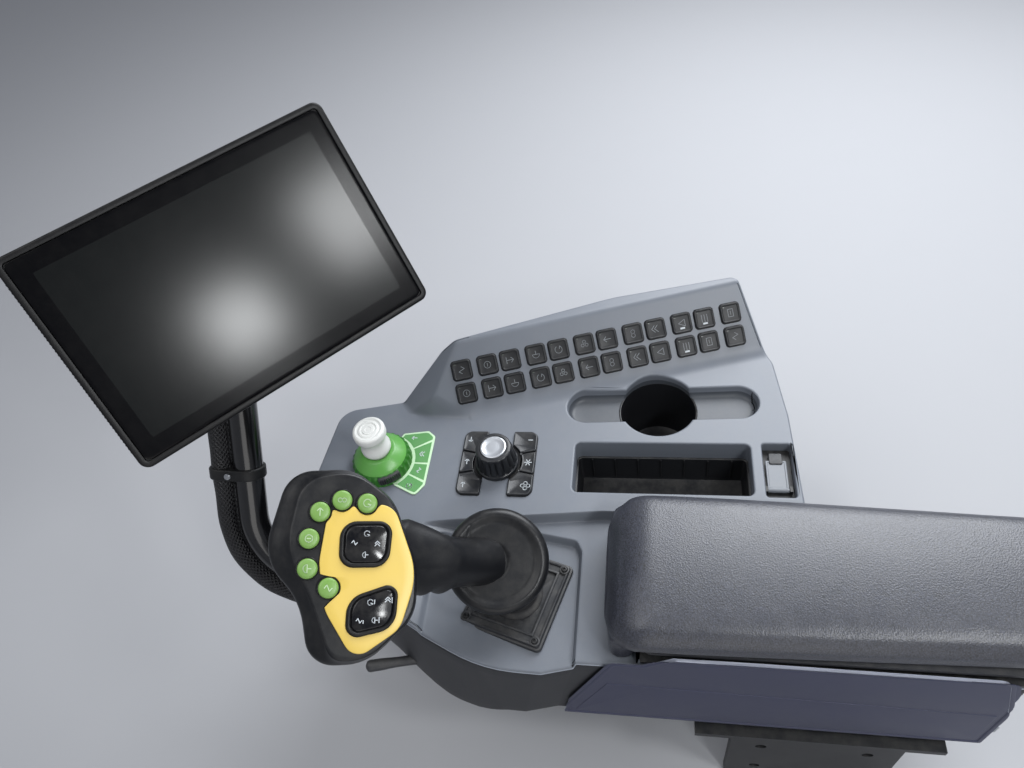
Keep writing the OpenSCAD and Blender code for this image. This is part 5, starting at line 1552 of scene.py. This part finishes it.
# %% Bent lines and tube
TUBE_R, SLEEVE_R, BEND = 15.0, 11.0, 70.0
pivot = DISP_C - disp_n * (DISP_T + 26)
TUBE_FOOT, TUBE_KNEE = np.array([-172.0, 290.0, -64.0]), np.array([-193.0, 420.0, -62.0])
tube_low, tube_up = unit(TUBE_KNEE - TUBE_FOOT), unit(pivot - TUBE_KNEE)
tube_top = pivot - tube_up * 50
sleeve_off = TUBE_R + SLEEVE_R + 1
side_low = unit(np.cross(tube_low, np.cross(tube_up, tube_low)))
side_up = unit(np.cross(tube_up, np.cross(tube_low, tube_up)))


def bent_line(foot_end, knee, top_end, bend):
    """Straight to the arc, an arc of radius bend that touches both legs, straight on."""
    u, w = unit(foot_end - knee), unit(top_end - knee)
    half_angle = math.acos(np.clip(u @ w, -1, 1)) / 2
    run = bend / math.tan(half_angle)
    centre = knee + unit(u + w) * bend / math.sin(half_angle)
    first = unit(knee + u * run - centre)
    k = np.linspace(0, math.pi - 2 * half_angle, 25)[:, None]
    arc_points = centre + bend * (first * np.cos(k) - u * np.sin(k))
    corners = [np.array([foot_end]), arc_points, np.array([top_end])]
    return finer(np.concatenate(corners), 4.0, closed=False)


tube_line = bent_line(TUBE_FOOT, TUBE_KNEE, tube_top, BEND)
piece("display_tube", [shell(rod(tube_line, TUBE_R, 64))], [TUBE_PAINT], "console",
      ["support_tube"], crease=50)

# %% [markdown]
# The sleeve's radius wavers a little, as cloth over cables does. Its map holds the share of a
# turn round it and the millimetres along it, which the braid's pattern reads.

# %% Braided sleeve
sleeve_line = bent_line(TUBE_FOOT - side_low * sleeve_off + tube_low * 30,
                        TUBE_KNEE + (tube_low - tube_up) * sleeve_off
                        / np.linalg.norm(np.cross(tube_low, tube_up)),
                        tube_top + side_up * sleeve_off - tube_up * 14, BEND + sleeve_off)
steps_along = np.linalg.norm(np.diff(sleeve_line, axis=0), axis=1)
run_along = np.concatenate([[0], np.cumsum(steps_along)])
sides = 49
flow = unit(np.gradient(sleeve_line, axis=0))
level_side = unit(np.cross(flow, unit(np.cross(tube_low, tube_up))))
level_up = np.cross(flow, level_side)
turn_round = np.linspace(0, 2 * np.pi, sides)[None, :, None]
slack = SLEEVE_R - 0.5 + 0.35 * np.sin(run_along / 17.0) + 0.25 * np.sin(run_along / 7.3 + 1)
sleeve_grid = sleeve_line[:, None] + slack[:, None, None] * (
    level_side[:, None] * np.cos(turn_round) + level_up[:, None] * np.sin(turn_round))
sleeve_uv = np.stack(np.meshgrid(run_along, np.linspace(0, 1, sides), indexing="ij")[::-1], -1)
sleeve_ends = [quads(len(sleeve_line), sides), np.arange(sides - 1)[None, ::-1],
               (len(sleeve_line) - 1) * sides + np.arange(sides - 1)[None]]
piece("braided_sleeve", [(sleeve_grid.reshape(-1, 3), sleeve_ends, 0)], [BRAID], "console",
      ["cable_sleeve"], crease=60, uv=sleeve_uv.reshape(-1, 2))
print("sleeve", round(float(run_along[-1])), "mm long")

# %% [markdown]
# Each clip is one band round both: the outline is the tight loop about a large and a small
# circle, moved out a little, with a screw in its waist.

# %% Sleeve clips
def loop_round(big, small, apart):
    """Outline round two circles: an arc of each, joined by their outer tangents."""
    lean_angle = math.asin((big - small) / apart)
    start = math.pi / 2 - lean_angle
    a = np.linspace(start, 2 * math.pi - start, 40)
    b = np.linspace(-start, start, 20)
    first_arc = np.stack([big * np.cos(a), big * np.sin(a)], 1)
    second_arc = np.stack([apart + small * np.cos(b), small * np.sin(b)], 1)
    return np.vstack([first_arc, second_arc])


clip_plan = finer(loop_round(TUBE_R + 2.5, SLEEVE_R + 2.5, sleeve_off), 3.0)
clip_frame = np.stack([side_up, np.cross(tube_up, side_up), tube_up], 1)
clip_parts = []
for below in (30, 150):
    at = tube_top - tube_up * below
    clip_parts.append(moved(slab(clip_plan, 0.0, 12.0, 1.6, 1.6), at, clip_frame) + (0,))
    side_screw = moved(shell(turned([(0, 0), (3.4, 0), (3.4, 1.6), (2.8, 2.3), (0, 2.5)], 24),
                             "none"), (16.0, 15.6, 6.0), spin(x=-90))
    clip_parts.append(moved(side_screw, at, clip_frame) + (1,))
piece("clip_bands", clip_parts, [CAST_BLACK, ZINC], "console", ["sleeve_clips"],
      crease=40)

# %% [markdown]
# ## Pad
# The arm lies on a foam pad in a soft grained skin. The pad starts as a rounded box with a
# lip that hangs down in front, and a voxel remesh makes its mesh even.

# %% Pad before its foam swells
PAD_W, PAD_L, PAD_T, PAD_FRONT, PAD_Z = 150.0, 378.0, 42.0, 48.0, 16.3
VOXEL = 5.0
pad_mid = (PAD_X - PAD_W / 2, PAD_FRONT - PAD_L / 2)
pad_low = np.array([PAD_X - PAD_W, PAD_FRONT - PAD_L, -LEDGE_H + 0.4])
pad_high = np.array([PAD_X, PAD_FRONT, PAD_Z + PAD_T])
main_plan = box_plan(pad_mid, PAD_W - 5, PAD_L - 5, 30.0, 4.0)
main_part = slab(main_plan, PAD_Z + 1.0, PAD_Z + PAD_T - 2.0, 16.0, 9.0, steps=7)
lip_plan = box_plan((PAD_X - 73.0, 32.0), 136.0, 22.0, 9.0, 4.0)
lip_part = slab(lip_plan, -LEDGE_H + 1.0, PAD_Z + 16.0, 4.0, 7.0)


def even_mesh(name, parts):
    """One even closed mesh from overlapping parts, by Blender's voxel remesh."""
    rough_piece = piece(name, parts, [PAD_SKIN], None)
    remesh = rough_piece.modifiers.new("even", "REMESH")
    remesh.mode = "VOXEL"
    remesh.voxel_size = VOXEL / 1000
    ready = bpy.data.meshes.new_from_object(
        rough_piece.evaluated_get(bpy.context.evaluated_depsgraph_get()))
    bpy.data.objects.remove(rough_piece)
    return ready


def points_of(mesh):
    """All vertex places of a mesh as one array."""
    places = np.empty(len(mesh.vertices) * 3)
    mesh.vertices.foreach_get("co", places)
    return places.reshape(-1, 3)


pad_mesh = even_mesh("pad_blank", [main_part, lip_part])
print("pad blank", len(pad_mesh.vertices), "points")

# %% [markdown]
# Foam pushes against its skin. A short Cloth run with air pressure does the same, and swells
# the pad by about a millimetre, because this one is firm.

# %% Foam
FOAM_PRESSURE, FOAM_FRAMES, FOAM_CAP = 4.0, 20, 1.3


def swell(mesh):
    """Cloth with air pressure and no gravity; no point may move farther than the cap."""
    start = points_of(mesh)
    work = bpy.data.objects.new("pad_work", mesh)
    scene.collection.objects.link(work)
    cloth = work.modifiers.new("foam", "CLOTH")
    cloth.settings.use_pressure = True
    cloth.settings.uniform_pressure_force = FOAM_PRESSURE
    cloth.settings.effector_weights.gravity = 0.0
    cloth.point_cache.frame_start = 1
    cloth.point_cache.frame_end = FOAM_FRAMES
    for number in range(1, FOAM_FRAMES + 1):
        scene.frame_set(number)
    after = work.evaluated_get(bpy.context.evaluated_depsgraph_get()).to_mesh()
    shift = points_of(after) - start
    scene.frame_set(1)
    bpy.data.objects.remove(work)
    size = np.linalg.norm(shift, axis=1, keepdims=True)
    shift *= np.minimum(1, FOAM_CAP / 1000 / np.maximum(size, 1e-9))
    print("foam moved", round(float(np.linalg.norm(shift, axis=1).max() * 1000), 1), "mm")
    return start + shift


pad_places = points_of(pad_mesh)
pad_places = swell(pad_mesh.copy())
print("pad is", round(float(np.ptp(pad_places[:, 0])) * 1000), "mm wide")

# %% [markdown]
# After the foam come the creases. One runs across the pad behind its rounded front, and
# another follows the lower side. Each is a narrow dip towards the pad's middle line. Then the
# front rolls down, the top is crowned, and the rear and the lower edge are drawn in. Every point
# stays inside the space that the pad has in the CAD model.

# %% Pad skin
def pad_skin(places):
    """Places clipped to the pad's box, then two creases, depth times exp(-(distance / width)^2),
    and last the roll in front, the crown, the taper behind and the tuck below."""
    p = places * 1000 - DECK
    room = 0.4
    p = np.clip(p, pad_low + room, pad_high - room)
    mid = np.array([pad_mid[0], 0, PAD_Z + PAD_T / 2])
    flank = np.abs(p[:, 0] - mid[0]) / (PAD_W / 2)
    away = unit(np.stack([p[:, 0] - mid[0], 0 * p[:, 0], p[:, 2] - mid[2]], 1))
    front_crease = np.exp(-((p[:, 1] - (PAD_FRONT - 17)) / 2.2) ** 2) * (p[:, 2] > PAD_Z + 3)
    low_line = np.exp(-((p[:, 2] - (PAD_Z + 7)) / 2.0) ** 2) * (flank > 0.8)
    dip = 1.1 * front_crease + 0.9 * low_line
    p = p - away * dip[:, None]
    rolled = np.clip((p[:, 1] - (PAD_FRONT - 42)) / 42, 0, 1) ** 1.8
    p[:, 2] -= 21.0 * rolled * ease((p[:, 2] - PAD_Z) / 30)
    crown = 6.5 * np.clip(flank, 0, 1) ** 2.0
    p[:, 2] -= crown * ease((p[:, 2] - PAD_Z - 12) / 24)
    behind = np.clip((PAD_FRONT - 60 - p[:, 1]) / 300, 0, 1) ** 1.3
    p[:, 0] -= behind * np.where(p[:, 0] > mid[0], 15.0, -7.0) * np.clip(flank, 0, 1)
    tuck = ease((PAD_Z + 13 - p[:, 2]) / 13) * (p[:, 1] < PAD_FRONT - 30)
    p[:, 0] = mid[0] + (p[:, 0] - mid[0]) * (1 - 0.075 * tuck)
    return metres(p)


pad_mesh.vertices.foreach_set("co", pad_skin(pad_places).ravel())
pad_mesh.materials.clear()
pad_mesh.materials.append(PAD_SKIN)
pad_mesh.polygons.foreach_set("use_smooth", np.ones(len(pad_mesh.polygons), bool))
pad = bpy.data.objects.new("arm_cushion", pad_mesh)
scene.collection.objects.link(pad)
finer_skin = pad.modifiers.new("finer_skin", "SUBSURF")
finer_skin.levels = finer_skin.render_levels = 1
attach(pad, "lid")
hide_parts("arm_pad")
print("pad skin over", len(pad_mesh.polygons), "faces")

# %% [markdown]
# ## Side panel
# A separate panel closes the seat side under the pad. It is a thin plate with a double lip
# along its edge and one faint line across it, so its section has a raised border and a step.

# %% Side panel
PANEL_GAP = 0.3


def against_wall(lying):
    """A form drawn lying down, stood against the seat side: x forward, y up, height outwards."""
    return np.stack([-INNER_X - PANEL_GAP - lying[..., 2], lying[..., 0], lying[..., 1]], -1)


panel_plan = rounded([(37, -6, 2), (12, -6, 8), (-14, 15, 8), (-TAIL_Y + 24, 10, 10),
                      (-TAIL_Y + 2, -70, 20), (-TAIL_Y + 2, 4 - BODY_H, 6),
                      (64 + STEP_SLANT, 4 - BODY_H, 2)][::-1], arc=10, step=4)
panel_side = [(-0.6, 0.0), (0.0, 0.5), (0.0, 2.2), (-0.5, 2.85), (-1.2, 3.0), (-3.4, 3.0),
              (-4.0, 2.7), (-4.4, 2.2), (-6.4, 2.2), (-6.8, 2.5), (-7.4, 2.6)]
panel_grid = against_wall(rings(panel_plan, panel_side))
fold_plan = rounded([(-TAIL_Y + 11, -64, 2), (-TAIL_Y + 11, 13 - BODY_H, 5),
                     (52 + STEP_SLANT, 13 - BODY_H, 2), (46, -50, 2)], arc=10, step=4)
fold_points, fold_faces = slab(fold_plan, 2.0, 3.1, 0.7)
# The first four rings, the panel's outer edge and the start of its rounding, take a light grey: a
# painted highlight along the lip.
panel_parts = [shell(panel_grid[3:], "top"), shell(panel_grid[:4], "low") + (1,),
               (against_wall(fold_points), fold_faces)]
# A light grey for the panel's edge: a painted highlight.
PANEL_EDGE_HIGHLIGHT = finish("panel_edge_painted_highlight", (164, 168, 182), 0.42, grain=900, depth=0.04, smudge=0.5)
piece("seat_side_panel", panel_parts, [PANEL_BLUE, PANEL_EDGE_HIGHLIGHT], "console", ["side_panel"],
      crease=35)

# %% [markdown]
# The height lever is a slim handle that reaches out in front of the panel: a rod along a
# slightly bowed line, a little thicker in its grip and closed round at its end.

# %% Height lever
lever_a, lever_b = np.array([-246.0, 219.0, -105.5]), np.array([-266.0, 292.0, -92.0])
k = np.linspace(0, 1, 40)[:, None]
lever_line = lever_a + (lever_b - lever_a) * k + np.array([0, 0, 1.5]) * np.sin(np.pi * k)
lever_radius = 5.0 + 1.0 * ease((k[:, 0] - 0.55) / 0.3) - 4.5 * ease((k[:, 0] - 0.965) / 0.035)
piece("lever_handle", [shell(rod(lever_line, lever_radius, 32))], [BASE_GREY], "console",
      ["height_lever"], crease=60)

# %% [markdown]
# ## Closing the frame
# A pale floor carries the shadow.

# %% Finishes of the CAD nodes that stay
PLAIN = {
    "seat_bracket": STEEL_BLACK, "slide_rail_inner": ZINC, "slide_rail_outer": ZINC,
    "slide_runner_inner": STEEL_BLACK, "slide_runner_outer": STEEL_BLACK,
    "storage_bin": LINER_BLACK, "pad_lid": TUB_BLACK, "lid_pins": ZINC, "socket_box": LINER_BLACK,
    "gimbal_seat": ZINC, "stick_yoke": ZINC, "stick_stalk": ZINC, "tube_head": ZINC,
    "tube_flange": CAST_BLACK, "display_knuckle": CAST_BLACK, "display_hinge": CAST_BLACK,
}
for node_name, thing in nodes.items():
    thing.data.materials.clear()
    thing.data.materials.append(PLAIN.get(node_name, BODY_GREY))
print("finished", len(nodes), "CAD nodes")

# %% Floor
FLOOR_Z = -0.064
half, fine_steps = 4.0, 33
side_line = np.linspace(-half, half, fine_steps)
floor_x, floor_y = np.meshgrid(side_line, side_line, indexing="ij")
floor_points = np.stack([floor_x.ravel(), floor_y.ravel(), np.full(floor_x.size, FLOOR_Z)], 1)
floor_mesh = bpy.data.meshes.new("floor")
floor_mesh.from_pydata(floor_points.tolist(), [], quads(fine_steps, fine_steps).tolist())
floor_thing = bpy.data.objects.new("floor", floor_mesh)
scene.collection.objects.link(floor_thing)
FLOOR_PALE = finish("floor_pale", (172, 173, 176), 0.8, grain=40, depth=0.0, smudge=0.02, dust=0)
floor_mesh.materials.append(FLOOR_PALE)
print("floor at", FLOOR_Z)
